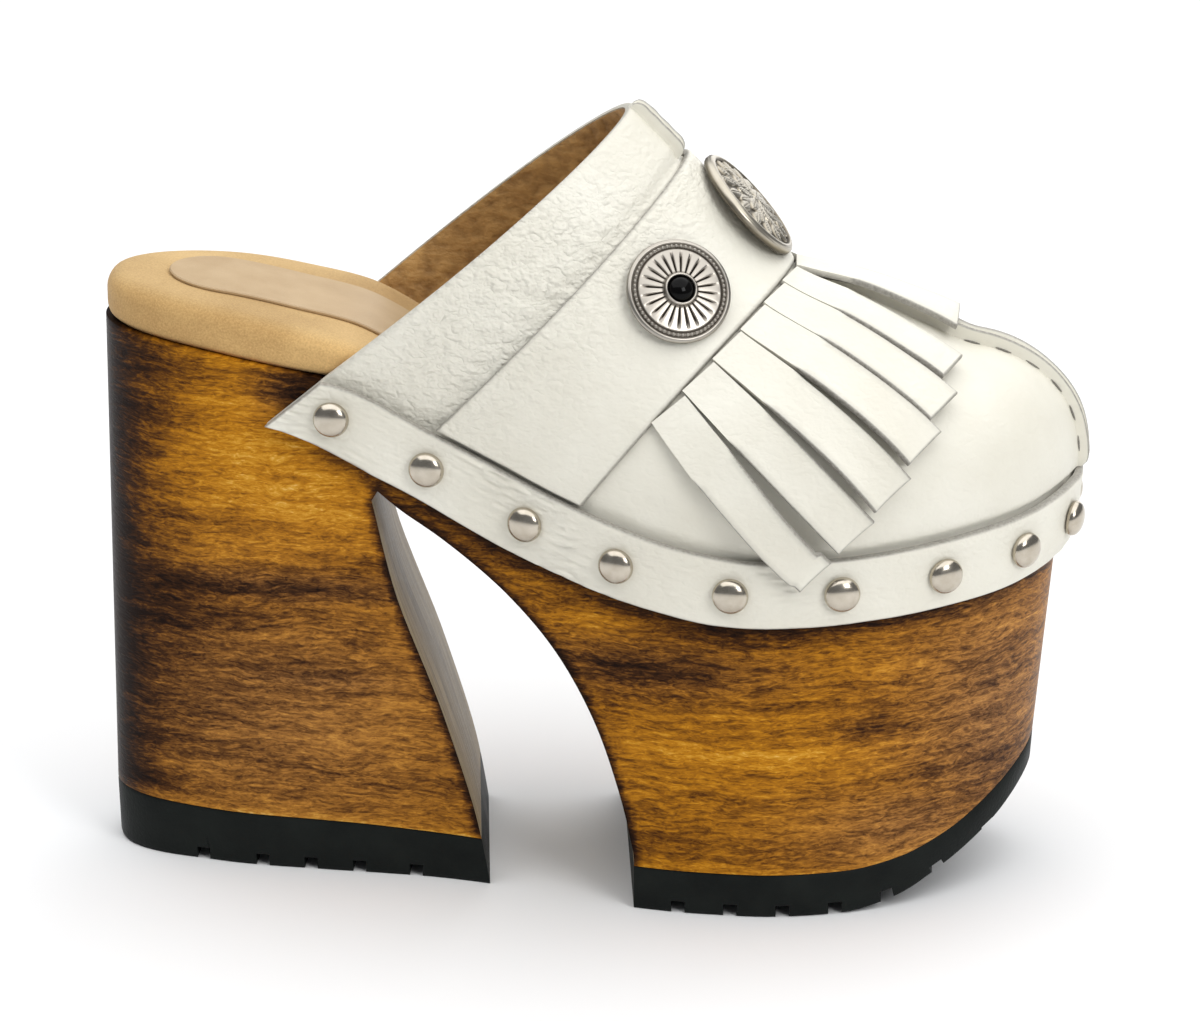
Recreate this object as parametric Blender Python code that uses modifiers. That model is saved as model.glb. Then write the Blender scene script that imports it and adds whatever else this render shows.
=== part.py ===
"""Platform clog for the right foot: a white leather mule on a carved wooden platform.

Metres, +Z up. The toe points to +X, the inner side of the foot is +Y, the floor is Z = 0
and the origin lies under the middle of the shoe. Stations run along the shoe from the back
of the heel, and offsets run across it from the line through the middle of the heel.
"""

import math

import bmesh
import bpy
import numpy as np
from mathutils import Matrix, Vector

OUTER = -1
INNER = 1

# Overall sizes
WOOD_LENGTH = 0.231
ORIGIN_STATION = 0.1186
ORIGIN_OFFSET = -0.0059
SEAT_GAP = 0.0003
EDGE_SAMPLES = 53

# Plan of the platform's top before its two ends are rounded: station, outer and inner offset
PLAN = (
    (0.000, 0.0310, 0.0310),
    (0.046, 0.0312, 0.0312),
    (0.075, 0.0328, 0.0305),
    (0.095, 0.0362, 0.0298),
    (0.112, 0.0415, 0.0308),
    (0.128, 0.0468, 0.0335),
    (0.145, 0.0500, 0.0372),
    (0.162, 0.0512, 0.0395),
    (0.185, 0.0510, 0.0405),
    (0.231, 0.0480, 0.0385),
)
HEEL_ROUND = (0.060, 2.2)
TOE_ROUND = (0.075, 2.05)

# Heights along the platform: station, top of the wood, underside of the wood, tread, inward draft
PROFILE = (
    (0.000, 0.1340, 0.0152, 0.0000, -0.0005),
    (0.024, 0.1315, 0.0138, 0.0000, 0.0045),
    (0.047, 0.1280, 0.0134, 0.0000, 0.0050),
    (0.060, 0.1258, 0.0131, 0.0000, 0.0045),
    (0.083, 0.1150, 0.0120, 0.0000, 0.0035),
    (0.117, 0.1006, 0.0112, 0.0000, 0.0015),
    (0.145, 0.0926, 0.0110, 0.0000, 0.0010),
    (0.160, 0.0909, 0.0110, 0.0000, 0.0010),
    (0.180, 0.0917, 0.0112, 0.0002, 0.0020),
    (0.194, 0.0930, 0.0128, 0.0025, 0.0035),
    (0.207, 0.0945, 0.0168, 0.0080, 0.0050),
    (0.220, 0.0962, 0.0240, 0.0155, 0.0058),
    (0.231, 0.0990, 0.0320, 0.0245, 0.0060),
)

# Side view of the carved gap between heel and forefoot, at the middle of the shoe
GAP_BREAST = ((0.0925, -0.006), (0.0890, 0.0143), (0.0807, 0.0426), (0.0690, 0.0750), (0.0641, 0.0966))
GAP_WAIST = (
    (0.0655, 0.0990),
    (0.0710, 0.0945),
    (0.0812, 0.0876),
    (0.0960, 0.0756),
    (0.1080, 0.0619),
    (0.1180, 0.0426),
    (0.1245, 0.0200),
    (0.1258, 0.0112),
    (0.1258, -0.006),
)
GAP_SKEW = math.radians(5.0)
GAP_REACH = 0.09

# Grooves across the tread
HEEL_GROOVES = (0.023, 0.038, 0.050, 0.062, 0.076)
FOREFOOT_GROOVES = (0.1405, 0.153, 0.1655, 0.178, 0.1905, 0.203, 0.2155)
GROOVE_WIDTH = 0.0032
GROOVE_DEPTH = 0.0030

# Footbed: its thickness along the shoe, and its rounded rim as inset and share of the thickness
INSOLE_THICKNESS = ((0.000, 0.0112), (0.030, 0.0110), (0.060, 0.0092), (0.120, 0.0055), (0.231, 0.0040))
INSOLE_RIM = ((0.0016, 0.03), (0.0006, 0.25), (0.0006, 0.62), (0.0018, 0.88), (0.0042, 1.00))
LABEL_ENDS = (0.0155, 0.0900)
LABEL_HALF_WIDTH = 0.0140
LABEL_THICKNESS = 0.0010

# Upper, one row for each rib of the last: station on the top edge of the rand, height of the rand
# below it, station, offset and height of the ridge, sharpness of the flank, swell of the sides
RIBS = (
    (0.0555, 0.0115, 0.1265, -0.0020, 0.1866, 0.67, 0.125),
    (0.0820, 0.0124, 0.1388, -0.0020, 0.1742, 0.67, 0.110),
    (0.1172, 0.0136, 0.1650, -0.0020, 0.1480, 0.68, 0.075),
    (0.1450, 0.0148, 0.1808, -0.0018, 0.1420, 0.70, 0.050),
    (0.1700, 0.0165, 0.1965, -0.0012, 0.1348, 0.74, 0.035),
    (0.1950, 0.0170, 0.2100, -0.0005, 0.1292, 0.77, 0.020),
    (0.2120, 0.0172, 0.2195, -0.0002, 0.1285, 0.80, 0.010),
    (0.2333, 0.0178, 0.2333, 0.0000, 0.1290, 0.80, 0.000),
)
UPPER_WALL = 0.0020
UPPER_FACE = SEAT_GAP + UPPER_WALL
UPPER_TIP = WOOD_LENGTH + UPPER_FACE
NOSE_ROUND = (0.042, 2.3)
COLLAR, SADDLE_REAR, SADDLE_FRONT = (row[0] for row in RIBS[:3])
TOE_SEAM_START = 0.1868
SEAM_STEP = 0.0008
SEAM_RISE = 0.0038
SEAM_HALF_WIDTH = 0.0014
RAND_THICKNESS = 0.0020
SADDLE_THICKNESS = 0.0016
SADDLE_FOOT = 1.01
SADDLE_BOW = 0.0040
RIB_COLUMNS = 13

# Fringe: level of its lower corner on the saddle's front edge, then the station and level on the
# upper at which the strips of one side end, from the lowest strip to the one on the ridge
FRINGE_FOOT = 1.305
FRINGE_TIPS = (
    (0.1740, 0.85),
    (0.1779, 1.12),
    (0.1817, 1.275),
    (0.1851, 1.44),
    (0.1872, 1.59),
    (0.1875, 1.76),
    (0.1850, 2.00),
)
FRINGE_ROWS = (0.0, 0.13, 0.34, 0.56, 0.78, 1.0)
FRINGE_DROP = 1.28
FRINGE_TIP_WIDTH = 0.0110
FRINGE_THICKNESS = 0.0014
FRINGE_ROOT_LIFT = 0.0005
FRINGE_TIP_LIFT = 0.0032
FRINGE_CLEARANCE = 0.0008

# Nails along the rand on each side
NAIL_STATIONS = (0.0648, 0.0869, 0.1118, 0.1326, 0.1581, 0.1825, 0.2042, 0.2213, 0.2315)
NAIL_LEVEL = 0.50
NAIL_PROFILE = (
    (0.0, 0.0026), (0.0016, 0.0024), (0.0032, 0.0016), (0.0041, 0.0007), (0.0043, 0.0), (0.0, 0.0),
)

# Ornaments on the saddle, each turned about its own axis: radius and height
STUDDED_CONCHO = (
    (0.0, 0.0030), (0.0036, 0.0030), (0.0040, 0.0027), (0.0044, 0.0021), (0.0078, 0.0021),
    (0.0096, 0.0022), (0.0104, 0.0018), (0.0118, 0.0014), (0.0125, 0.0007), (0.0122, 0.0), (0.0, 0.0),
)
ENGRAVED_CONCHO = (
    (0.0, 0.0040), (0.0050, 0.0037), (0.0095, 0.0028), (0.0118, 0.0021), (0.0126, 0.0024),
    (0.0142, 0.0020), (0.0149, 0.0011), (0.0145, 0.0), (0.0, 0.0),
)
STONE_PROFILE = ((0.0, 0.0021), (0.0014, 0.0018), (0.0025, 0.0010), (0.0031, 0.0), (0.0, 0.0))
SIDE_CONCHO_SPOT = (0.0985, 1.60)
CENTRE_CONCHO_SPOT = (0.0995, 2.0)
TURNED_STEPS = 16

# Colour, roughness and metal of each kind of material
FINISHES = {
    "wood": ((0.34, 0.14, 0.035), 0.25, 0.0),
    "rubber": ((0.012, 0.014, 0.014), 0.75, 0.0),
    "suede": ((0.62, 0.43, 0.21), 0.95, 0.0),
    "label": ((0.72, 0.52, 0.34), 0.6, 0.0),
    "leather": ((0.86, 0.85, 0.82), 0.5, 0.0),
    "nickel": ((0.62, 0.60, 0.56), 0.25, 1.0),
    "silver": ((0.45, 0.43, 0.40), 0.35, 1.0),
    "stone": ((0.005, 0.005, 0.005), 0.08, 0.0),
}


def smooth(stations, values):
    """Return a function through the points that has no kinks and does not overshoot."""
    x = np.array(stations, float)
    y = np.array(values, float)
    step = np.diff(y) / np.diff(x)
    before, after = step[:-1], step[1:]
    same_way = before * after > 0
    total = np.where(same_way, before + after, 1.0)
    inner = np.where(same_way, 2 * before * after / total, 0.0)
    slope = np.concatenate([step[:1], inner, step[-1:]])

    def value(at):
        at = np.clip(at, x[0], x[-1])
        i = np.clip(np.searchsorted(x, at) - 1, 0, len(x) - 2)
        width = x[i + 1] - x[i]
        u = (at - x[i]) / width
        rise = u * u * (3 - 2 * u)
        lead = u * (1 - u) ** 2 * width * slope[i]
        tail = u * u * (1 - u) * width * slope[i + 1]
        return y[i] + (y[i + 1] - y[i]) * rise + lead - tail

    return value


def columns(table):
    """Return a smooth function of the first column for each other column of a table."""
    rows = np.array(table, float)
    return [smooth(rows[:, 0], rows[:, k]) for k in range(1, rows.shape[1])]


def rounded(distance, length, power):
    """Fullness of a rounded end, from 0 at the very end to 1 where the rounding stops."""
    u = np.clip(1 - np.asarray(distance) / length, 0, 1)
    return (1 - u**power) ** (1 / power)


PLAN_OUTER, PLAN_INNER = columns(PLAN)
WOOD_TOP, WOOD_UNDER, TREAD, DRAFT = columns(PROFILE)
INSOLE_HEIGHT = columns(INSOLE_THICKNESS)[0]
RAND_DROP, RIDGE_STATION, RIDGE_OFFSET, RIDGE_HEIGHT, FLANK, SWELL = columns(RIBS)


def plan_edge(side):
    """Station, offset and outward normal along one edge of the platform's top, heel to toe."""
    turn = np.linspace(0, math.pi, EDGE_SAMPLES)
    station = WOOD_LENGTH * (1 - np.cos(turn)) / 2
    plan = PLAN_OUTER if side == OUTER else PLAN_INNER
    half = plan(station) * rounded(station, *HEEL_ROUND) * rounded(WOOD_LENGTH - station, *TOE_ROUND)
    normal = np.stack([-np.gradient(half), np.gradient(station)], axis=1)
    normal /= np.linalg.norm(normal, axis=1)[:, None]
    normal[0] = (-1, 0)
    normal[-1] = (1, 0)
    return np.column_stack([station, side * half, normal[:, 0], side * normal[:, 1]])


EDGES = {side: plan_edge(side) for side in (OUTER, INNER)}


def edge_points(side, outset, height, first=0.0, last=1.0):
    """Points along one edge moved outwards, at a height given for each station."""
    edge = EDGES[side]
    edge = edge[(edge[:, 0] >= first) & (edge[:, 0] <= last)]
    moved = edge[:, :2] + edge[:, 2:] * np.reshape(outset(edge[:, 0]), (-1, 1))
    return np.column_stack([moved, height(edge[:, 0])])


def wall_point(station, inset, side):
    """Plan point on the upper's outer face at a station, moved inwards by the inset."""
    edge = EDGES[side]
    face = edge[:, :2] + edge[:, 2:] * UPPER_FACE
    along = [np.interp(station, face[:, 0], edge[:, k]) for k in (2, 3)]
    offset = np.interp(station, face[:, 0], face[:, 1])
    return station - inset * along[0], offset - inset * along[1]


def upper_point(station, level, side):
    """Point on the upper's outer face.

    The station is where the rib crosses the top edge of the rand. Level 0 is the lower edge of
    the rand, 1 its top edge and 2 the ridge along the middle of the foot.
    """
    top = WOOD_TOP(station)
    nose = rounded(UPPER_TIP - station, *NOSE_ROUND)
    rise = (RIDGE_HEIGHT(station) - top) * nose
    lean = (RIDGE_STATION(station) - station) / max(rise, 1e-5)
    if level <= 1:
        drop = RAND_DROP(station) * (1 - level)
        foot = station - lean * drop
        depth = WOOD_TOP(foot) - (top - drop)
        inset = DRAFT(foot) * depth / (WOOD_TOP(foot) - WOOD_UNDER(foot))
        x, y = wall_point(foot, inset, side)
        return np.array([x, y, top - drop])
    angle = (level - 1) ** (1 / FLANK(station)) * math.pi / 2
    up = math.sin(angle) ** FLANK(station)
    across = max(math.cos(angle), 0) * (1 + SWELL(station) * 4 * up * (1 - up))
    wall = wall_point(station, 0, side)[1]
    ridge = RIDGE_OFFSET(station)
    return np.array([station + lean * rise * up, ridge + (wall - ridge) * across, top + rise * up])


def ridge_level(station, side):
    """Level at which the centre seam's foot lies, a fixed distance from the ridge."""
    wall = abs(wall_point(station, 0, side)[1] - RIDGE_OFFSET(station))
    share = min(SEAM_HALF_WIDTH / max(wall, 1e-6), 0.5)
    return 1 + (math.acos(share) * 2 / math.pi) ** FLANK(station)


def grid_normals(grid):
    """Outward unit normals of a grid of points on the upper."""
    normal = np.cross(np.gradient(grid, axis=0), np.gradient(grid, axis=1))
    length = np.linalg.norm(normal, axis=2, keepdims=True)
    forward = np.broadcast_to([1.0, 0.0, 0.0], grid.shape)
    return np.where(length > 1e-12, normal / np.maximum(length, 1e-12), forward)


def upper_normal(station, level, side):
    """Outward normal of the upper's outer face at one point."""
    step = 0.002
    stations = [station - step, station, min(station + step, UPPER_TIP - 0.0001)]
    if level > 2 - step:
        across = [(1.97, OUTER), (2.0, OUTER), (1.97, INNER)]
    else:
        across = [(level + 0.03 * k, side) for k in (-1, 0, 1)][:: -side]
    rows = [[upper_point(s, v, face) for v, face in across] for s in stations]
    return grid_normals(np.array(rows))[1, 1]


def placed(points):
    """Points moved from stations and offsets to the shoe's own origin."""
    return np.asarray(points) - np.array([ORIGIN_STATION, ORIGIN_OFFSET, 0.0])


def new_object(name, mesh, finish, collection):
    """Add a mesh as a named object with a material of its own."""
    part = bpy.data.objects.new(name, mesh)
    collection.objects.link(part)
    if finish:
        colour, roughness, metallic = FINISHES[finish]
        material = bpy.data.materials.new(name)
        material.use_nodes = True
        shader = material.node_tree.nodes["Principled BSDF"]
        shader.inputs["Base Color"].default_value = (*colour, 1)
        shader.inputs["Roughness"].default_value = roughness
        shader.inputs["Metallic"].default_value = metallic
        mesh.materials.append(material)
    return part


def mesh_from(name, points, faces):
    """Make a mesh whose doubled points are welded and whose collapsed faces are gone."""
    shape = bmesh.new()
    corners = [shape.verts.new(p) for p in points]
    for face in faces:
        shape.faces.new([corners[k] for k in face])
    bmesh.ops.remove_doubles(shape, verts=shape.verts, dist=0.00002)
    bmesh.ops.dissolve_degenerate(shape, dist=0.00001, edges=shape.edges)
    mesh = bpy.data.meshes.new(name)
    shape.to_mesh(mesh)
    shape.free()
    return mesh


def stacked(name, rings, finish, collection):
    """Close a solid from rings, bottom to top; each ring is its outer and its inner edge, heel to toe."""
    count = len(rings[0][0])
    points = []
    faces = []
    for outer, inner in rings:
        points.extend(placed(outer))
        points.extend(placed(inner)[::-1])
    size = 2 * count
    for level in range(len(rings) - 1):
        low, high = level * size, (level + 1) * size
        for k in range(size):
            following = (k + 1) % size
            faces.append((low + k, low + following, high + following, high + k))
    for start, flip in ((0, True), ((len(rings) - 1) * size, False)):
        for k in range(count - 1):
            strip = (start + k, start + k + 1, start + size - 2 - k, start + size - 1 - k)
            faces.append(strip[::-1] if flip else strip)
    return new_object(name, mesh_from(name, points, faces), finish, collection)


def sheet(name, grid, thickness, grow, finish, collection):
    """Thicken a grid of points into leather, outwards for grow 1 and inwards for grow -1."""
    rows, across = grid.shape[:2]
    faces = []
    for i in range(rows - 1):
        for j in range(across - 1):
            corner = i * across + j
            faces.append((corner, corner + across, corner + across + 1, corner + 1))
    mesh = mesh_from(name, placed(grid.reshape(-1, 3)), faces)
    part = new_object(name, mesh, finish, collection)
    thicken(part, thickness, grow)
    return part


def thicken(part, thickness, grow):
    """Give a sheet its thickness and smooth shading."""
    leather = part.modifiers.new("Thickness", "SOLIDIFY")
    leather.thickness = thickness
    leather.offset = grow
    part.data.shade_smooth()


def turned(name, profile, spot, normal, finish, collection):
    """Turn a profile of radius and height, and seat it at a spot on the leather."""
    mesh = bpy.data.meshes.new(name)
    points = [(radius, 0, height) for radius, height in profile]
    mesh.from_pydata(points, [(k, k + 1) for k in range(len(points) - 1)], [])
    part = new_object(name, mesh, finish, collection)
    part.location = placed(spot)
    part.rotation_mode = "QUATERNION"
    part.rotation_quaternion = Vector(normal).to_track_quat("Z", "Y")
    screw = part.modifiers.new("Turn", "SCREW")
    screw.steps = TURNED_STEPS
    screw.render_steps = TURNED_STEPS
    screw.use_merge_vertices = True
    screw.merge_threshold = 0.00001
    screw.use_smooth_shade = True
    return part


def cut(part, cutter):
    """Cut one object out of another."""
    boolean = part.modifiers.new("Cut", "BOOLEAN")
    boolean.operation = "DIFFERENCE"
    boolean.solver = "EXACT"
    boolean.object = cutter


def hide_cutter(cutter):
    """Keep a cutting shape out of the finished object."""
    cutter.hide_render = True
    cutter.display_type = "WIRE"


def gap_cutter(collection):
    """Block with the side view of the carved gap, running right across the shoe."""
    waist = columns([(k, *point) for k, point in enumerate(GAP_WAIST)])
    steps = np.linspace(0, len(GAP_WAIST) - 1, 25)
    profile = list(GAP_BREAST) + [(waist[0](k), waist[1](k)) for k in steps]
    shape = bmesh.new()
    corners = [shape.verts.new((x - ORIGIN_STATION, -GAP_REACH, z)) for x, z in profile]
    side = shape.faces.new(corners)
    swept = bmesh.ops.extrude_face_region(shape, geom=[side])["geom"]
    far = [item for item in swept if isinstance(item, bmesh.types.BMVert)]
    bmesh.ops.translate(shape, verts=far, vec=(0, 2 * GAP_REACH, 0))
    bmesh.ops.recalc_face_normals(shape, faces=shape.faces)
    centre = Vector((GAP_WAIST[3][0] - ORIGIN_STATION, 0, 0))
    turn = Matrix.Translation(centre) @ Matrix.Rotation(GAP_SKEW, 4, "Z") @ Matrix.Translation(-centre)
    bmesh.ops.transform(shape, matrix=turn, verts=shape.verts)
    bmesh.ops.translate(shape, verts=shape.verts, vec=(0, -ORIGIN_OFFSET, 0))
    mesh = bpy.data.meshes.new("gap_cutter")
    shape.to_mesh(mesh)
    shape.free()
    cutter = new_object("gap_cutter", mesh, None, collection)
    hide_cutter(cutter)
    return cutter


def groove_cutter(name, stations, collection):
    """Row of bars across the tread, each lying along the tread at its station."""
    shape = bmesh.new()
    for station in stations:
        slope = math.atan2(TREAD(station + 0.002) - TREAD(station - 0.002), 0.004)
        size = Matrix.Diagonal((GROOVE_WIDTH, 2 * GAP_REACH, 2 * GROOVE_DEPTH, 1))
        middle = Matrix.Translation((station - ORIGIN_STATION, 0, TREAD(station)))
        bmesh.ops.create_cube(shape, size=1, matrix=middle @ Matrix.Rotation(-slope, 4, "Y") @ size)
    mesh = bpy.data.meshes.new(name)
    shape.to_mesh(mesh)
    shape.free()
    cutter = new_object(name, mesh, None, collection)
    hide_cutter(cutter)
    return cutter


def ring(outset, height, first=0.0, last=1.0):
    """Outer and inner edge of the platform's plan, moved outwards, at a height."""
    return [edge_points(side, outset, height, first, last) for side in (OUTER, INNER)]


def make_platform(parts, cutters):
    """Wooden platform and its two rubber treads."""
    gap = gap_cutter(cutters)
    wood = stacked(
        "sole_block",
        [ring(lambda s: -DRAFT(s), WOOD_UNDER), ring(lambda s: 0 * s, WOOD_TOP)],
        "wood",
        parts,
    )
    cut(wood, gap)
    for name, first, last, stations in (
        ("heel_outsole", 0.0, 0.108, HEEL_GROOVES),
        ("forefoot_outsole", 0.108, 1.0, FOREFOOT_GROOVES),
    ):
        rubber = stacked(
            name,
            [
                ring(lambda s: -DRAFT(s) - 0.0004, TREAD, first, last),
                ring(lambda s: -DRAFT(s), lambda s: WOOD_UNDER(s) - SEAT_GAP, first, last),
            ],
            "rubber",
            parts,
        )
        cut(rubber, gap)
        cut(rubber, groove_cutter(name + "_grooves", stations, cutters))


def rim_ring(inset, share):
    """Ring of the footbed's rim, inset from the platform's edge, at a share of its thickness."""
    return ring(lambda s: 0 * s - inset, lambda s: WOOD_TOP(s) + SEAT_GAP + INSOLE_HEIGHT(s) * share)


def make_footbed(parts):
    """Suede footbed with its rounded rim, and the leather label on it."""
    stacked("insole", [rim_ring(inset, share) for inset, share in INSOLE_RIM], "suede", parts)
    start, end = LABEL_ENDS
    stations = start + (end - start) * (1 - np.cos(np.linspace(0, math.pi, 21))) / 2
    half = LABEL_HALF_WIDTH * rounded(stations - start, LABEL_HALF_WIDTH, 2)
    half = half * rounded(end - stations, LABEL_HALF_WIDTH, 2)
    bed = WOOD_TOP(stations) + SEAT_GAP + INSOLE_HEIGHT(stations)
    rings = []
    for lift in (SEAT_GAP, SEAT_GAP + LABEL_THICKNESS):
        rings.append([np.column_stack([stations, side * half, bed + lift]) for side in (OUTER, INNER)])
    stacked("insole_label", rings, "label", parts)


def rib_columns(station, first_level):
    """Sides and levels from the outer edge over the ridge to the inner edge of one rib."""
    halves = []
    for side in (OUTER, INNER):
        levels = np.linspace(1.0, ridge_level(station, side), RIB_COLUMNS)
        levels[0] = first_level
        halves.append([(side, v) for v in levels])
    return halves[0] + [(OUTER, 2.0)] + halves[1][::-1]


def upper_grid(stations, first_level):
    """Grid of points on the upper, one row for each rib."""
    return np.array([[upper_point(s, v, side) for side, v in rib_columns(s, first_level)] for s in stations])


def make_upper(parts):
    """Hollow leather upper with the raised seam along its middle."""
    stations = COLLAR + (UPPER_TIP - COLLAR) * np.sin(np.linspace(0, math.pi / 2, 28))
    collar_seam = (SADDLE_REAR - 2 * SEAM_STEP, SADDLE_REAR - SEAM_STEP)
    toe_seam = (TOE_SEAM_START, TOE_SEAM_START + SEAM_STEP)
    stations = np.sort(np.concatenate([stations, collar_seam, toe_seam]))
    arch = upper_grid(stations, 1.0)
    wall = {
        side: np.array([[upper_point(s, v, side) for v in (0.0, 0.5)] for s in stations])
        for side in (OUTER, INNER)
    }
    grid = np.concatenate([wall[OUTER], arch, wall[INNER][:, ::-1]], axis=1)
    normals = grid_normals(grid)
    ridge = grid.shape[1] // 2
    for row, station in enumerate(stations):
        if station < SADDLE_REAR - SEAM_STEP or station > TOE_SEAM_START:
            grid[row, ridge] += normals[row, ridge] * SEAM_RISE
    sheet("upper", grid, UPPER_WALL, -1, "leather", parts)


def make_rand(parts):
    """Leather band that is nailed round the foot of the upper."""
    stations = COLLAR + (UPPER_TIP - COLLAR) * np.sin(np.linspace(0, math.pi / 2, 34))
    path = [(s, OUTER) for s in stations] + [(s, INNER) for s in stations[-2::-1]]
    grid = np.array([[upper_point(s, v, side) for v in (0.0, 0.5, 1.0)] for s, side in path])
    grid = grid + grid_normals(grid) * SEAT_GAP
    sheet("rand", grid, RAND_THICKNESS, 1, "leather", parts)


def saddle_front(level):
    """Station of the saddle's front edge, which bows back between the rand and the ridge."""
    return SADDLE_FRONT - SADDLE_BOW * math.sin(math.pi * (level - 1))


def make_saddle(parts):
    """Smooth leather band across the instep."""
    grid = []
    for share in np.linspace(0, 1, 8):
        ribs = rib_columns(SADDLE_REAR + (SADDLE_FRONT - SADDLE_REAR) * share, SADDLE_FOOT)
        stations = [SADDLE_REAR + (saddle_front(v) - SADDLE_REAR) * share for side, v in ribs]
        grid.append([upper_point(s, v, side) for s, (side, v) in zip(stations, ribs)])
    grid = np.array(grid)
    grid = grid + grid_normals(grid) * SEAT_GAP
    sheet("saddle_band", grid, SADDLE_THICKNESS, 1, "leather", parts)


def fringe_root(level):
    """Station of the fringe's root, just clear of the saddle's front edge."""
    return saddle_front(level) + FRINGE_CLEARANCE


def root_edges(side):
    """Levels that share the fringe's root on one side into strips of equal width, foot to ridge."""
    levels = np.linspace(FRINGE_FOOT, 2, 60)
    points = np.array([upper_point(fringe_root(v), v, side) for v in levels])
    girth = np.concatenate([[0], np.cumsum(np.linalg.norm(np.diff(points, axis=0), axis=1))])
    strips = len(FRINGE_TIPS) - 0.5
    return [np.interp(girth[-1] * k / strips, girth, levels) for k in range(len(FRINGE_TIPS))]


def fringe_strip(side, root, tip):
    """Grid of one strip: rows from the root to the tip, columns from the outer to the inner edge."""
    edges = [upper_point(fringe_root(v), v, s) for s, v in root]
    root_width = np.linalg.norm(edges[1] - edges[0])
    middle = 2.0 if root[0][0] != root[1][0] else (root[0][1] + root[1][1]) / 2
    start = fringe_root(middle)
    centres, normals = [], []
    for share in FRINGE_ROWS:
        station = start + (tip[0] - start) * share
        level = middle + (tip[1] - middle) * share**FRINGE_DROP
        normals.append(upper_normal(station, level, side))
        lift = FRINGE_ROOT_LIFT + (FRINGE_TIP_LIFT - FRINGE_ROOT_LIFT) * share**0.7
        centres.append(upper_point(station, level, side) + normals[-1] * lift)
    along = np.gradient(np.array(centres), axis=0)
    rows = []
    for share, centre, normal, ahead in zip(FRINGE_ROWS, centres, normals, along):
        across = np.cross(normal, ahead)
        across *= (root_width + (FRINGE_TIP_WIDTH - root_width) * share) / 2 / np.linalg.norm(across)
        rows.append([centre - across, centre, centre + across])
    rows[0][0] = edges[0] + normals[0] * FRINGE_ROOT_LIFT
    rows[0][2] = edges[1] + normals[0] * FRINGE_ROOT_LIFT
    return np.array(rows)


def make_fringe(parts):
    """Fringe under the saddle's front edge: strips that hang together along a band at their root."""
    strips = []
    last = len(FRINGE_TIPS) - 1
    outer, inner = root_edges(OUTER), root_edges(INNER)
    for k in range(last):
        root = [(OUTER, outer[k]), (OUTER, outer[k + 1])]
        strips.append(fringe_strip(OUTER, root, FRINGE_TIPS[k]))
    strips.append(fringe_strip(OUTER, [(OUTER, outer[last]), (INNER, inner[last])], FRINGE_TIPS[last]))
    for k in reversed(range(last)):
        root = [(INNER, inner[k + 1]), (INNER, inner[k])]
        strips.append(fringe_strip(INNER, root, FRINGE_TIPS[k]))
    for left, right in zip(strips, strips[1:]):
        for row in (0, 1):
            joint = (left[row, 2] + right[row, 0]) / 2
            left[row, 2] = joint
            right[row, 0] = joint
    points = np.concatenate([strip.reshape(-1, 3) for strip in strips])
    size = 3 * len(FRINGE_ROWS)
    faces = []
    for start in range(0, len(points), size):
        for row in range(len(FRINGE_ROWS) - 1):
            for column in (0, 1):
                corner = start + 3 * row + column
                faces.append((corner, corner + 3, corner + 4, corner + 1))
    part = new_object("fringe", mesh_from("fringe", placed(points), faces), "leather", parts)
    thicken(part, FRINGE_THICKNESS, 1)


def make_nails(parts):
    """Domed nails through the rand, the same on both sides."""
    spots = [(s, side) for side in (OUTER, INNER) for s in NAIL_STATIONS]
    for number, (station, side) in enumerate(spots, start=1):
        normal = upper_normal(station, NAIL_LEVEL, side)
        spot = upper_point(station, NAIL_LEVEL, side) + normal * (RAND_THICKNESS + 3 * SEAT_GAP)
        turned(f"nail_{number:02d}", NAIL_PROFILE, spot, normal, "nickel", parts)


def concho_seat(station, level, side, profile):
    """Normal and middle of an ornament's flat back, clear of the saddle all over."""
    normal = upper_normal(station, level, side)
    spot = upper_point(station, level, side)
    radius = max(point[0] for point in profile)
    highest = 0.0
    for s in np.linspace(station - 0.03, station + 0.03, 25):
        for v in np.linspace(level - 0.4, level + 0.4, 25):
            around = upper_point(s, min(v, 4 - v), side if v <= 2 else -side) - spot
            height = around @ normal
            if np.linalg.norm(around - height * normal) < radius:
                highest = max(highest, height)
    return normal, spot + normal * (highest + SADDLE_THICKNESS + 2 * SEAT_GAP)


def make_conchos(parts):
    """Silver ornaments on the saddle: an engraved one on the ridge and a studded one on each side."""
    normal, spot = concho_seat(*CENTRE_CONCHO_SPOT, OUTER, ENGRAVED_CONCHO)
    turned("concho_centre", ENGRAVED_CONCHO, spot, normal, "silver", parts)
    for side, word in ((OUTER, "outer"), (INNER, "inner")):
        normal, spot = concho_seat(*SIDE_CONCHO_SPOT, side, STUDDED_CONCHO)
        turned("concho_" + word, STUDDED_CONCHO, spot, normal, "silver", parts)
        crown = spot + normal * (STUDDED_CONCHO[0][1] + SEAT_GAP)
        turned("stone_" + word, STONE_PROFILE, crown, normal, "stone", parts)


def main():
    for old in list(bpy.data.objects):
        bpy.data.objects.remove(old, do_unlink=True)
    parts = bpy.data.collections.new("platform_clog")
    cutters = bpy.data.collections.new("cutters")
    for collection in (parts, cutters):
        bpy.context.scene.collection.children.link(collection)
    make_platform(parts, cutters)
    make_footbed(parts)
    make_upper(parts)
    make_rand(parts)
    make_saddle(parts)
    make_fringe(parts)
    make_nails(parts)
    make_conchos(parts)


main()
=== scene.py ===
# %% [markdown]
# # A fringed platform clog
# This lesson dresses a mule clog for the right foot: white leather over a last, nailed to a tall
# block of varnished wood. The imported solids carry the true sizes. Each one is replaced here by a
# finer mesh from the same tables, and gets the finish of the real material. Lengths are in metres.

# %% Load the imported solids
import math

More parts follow.
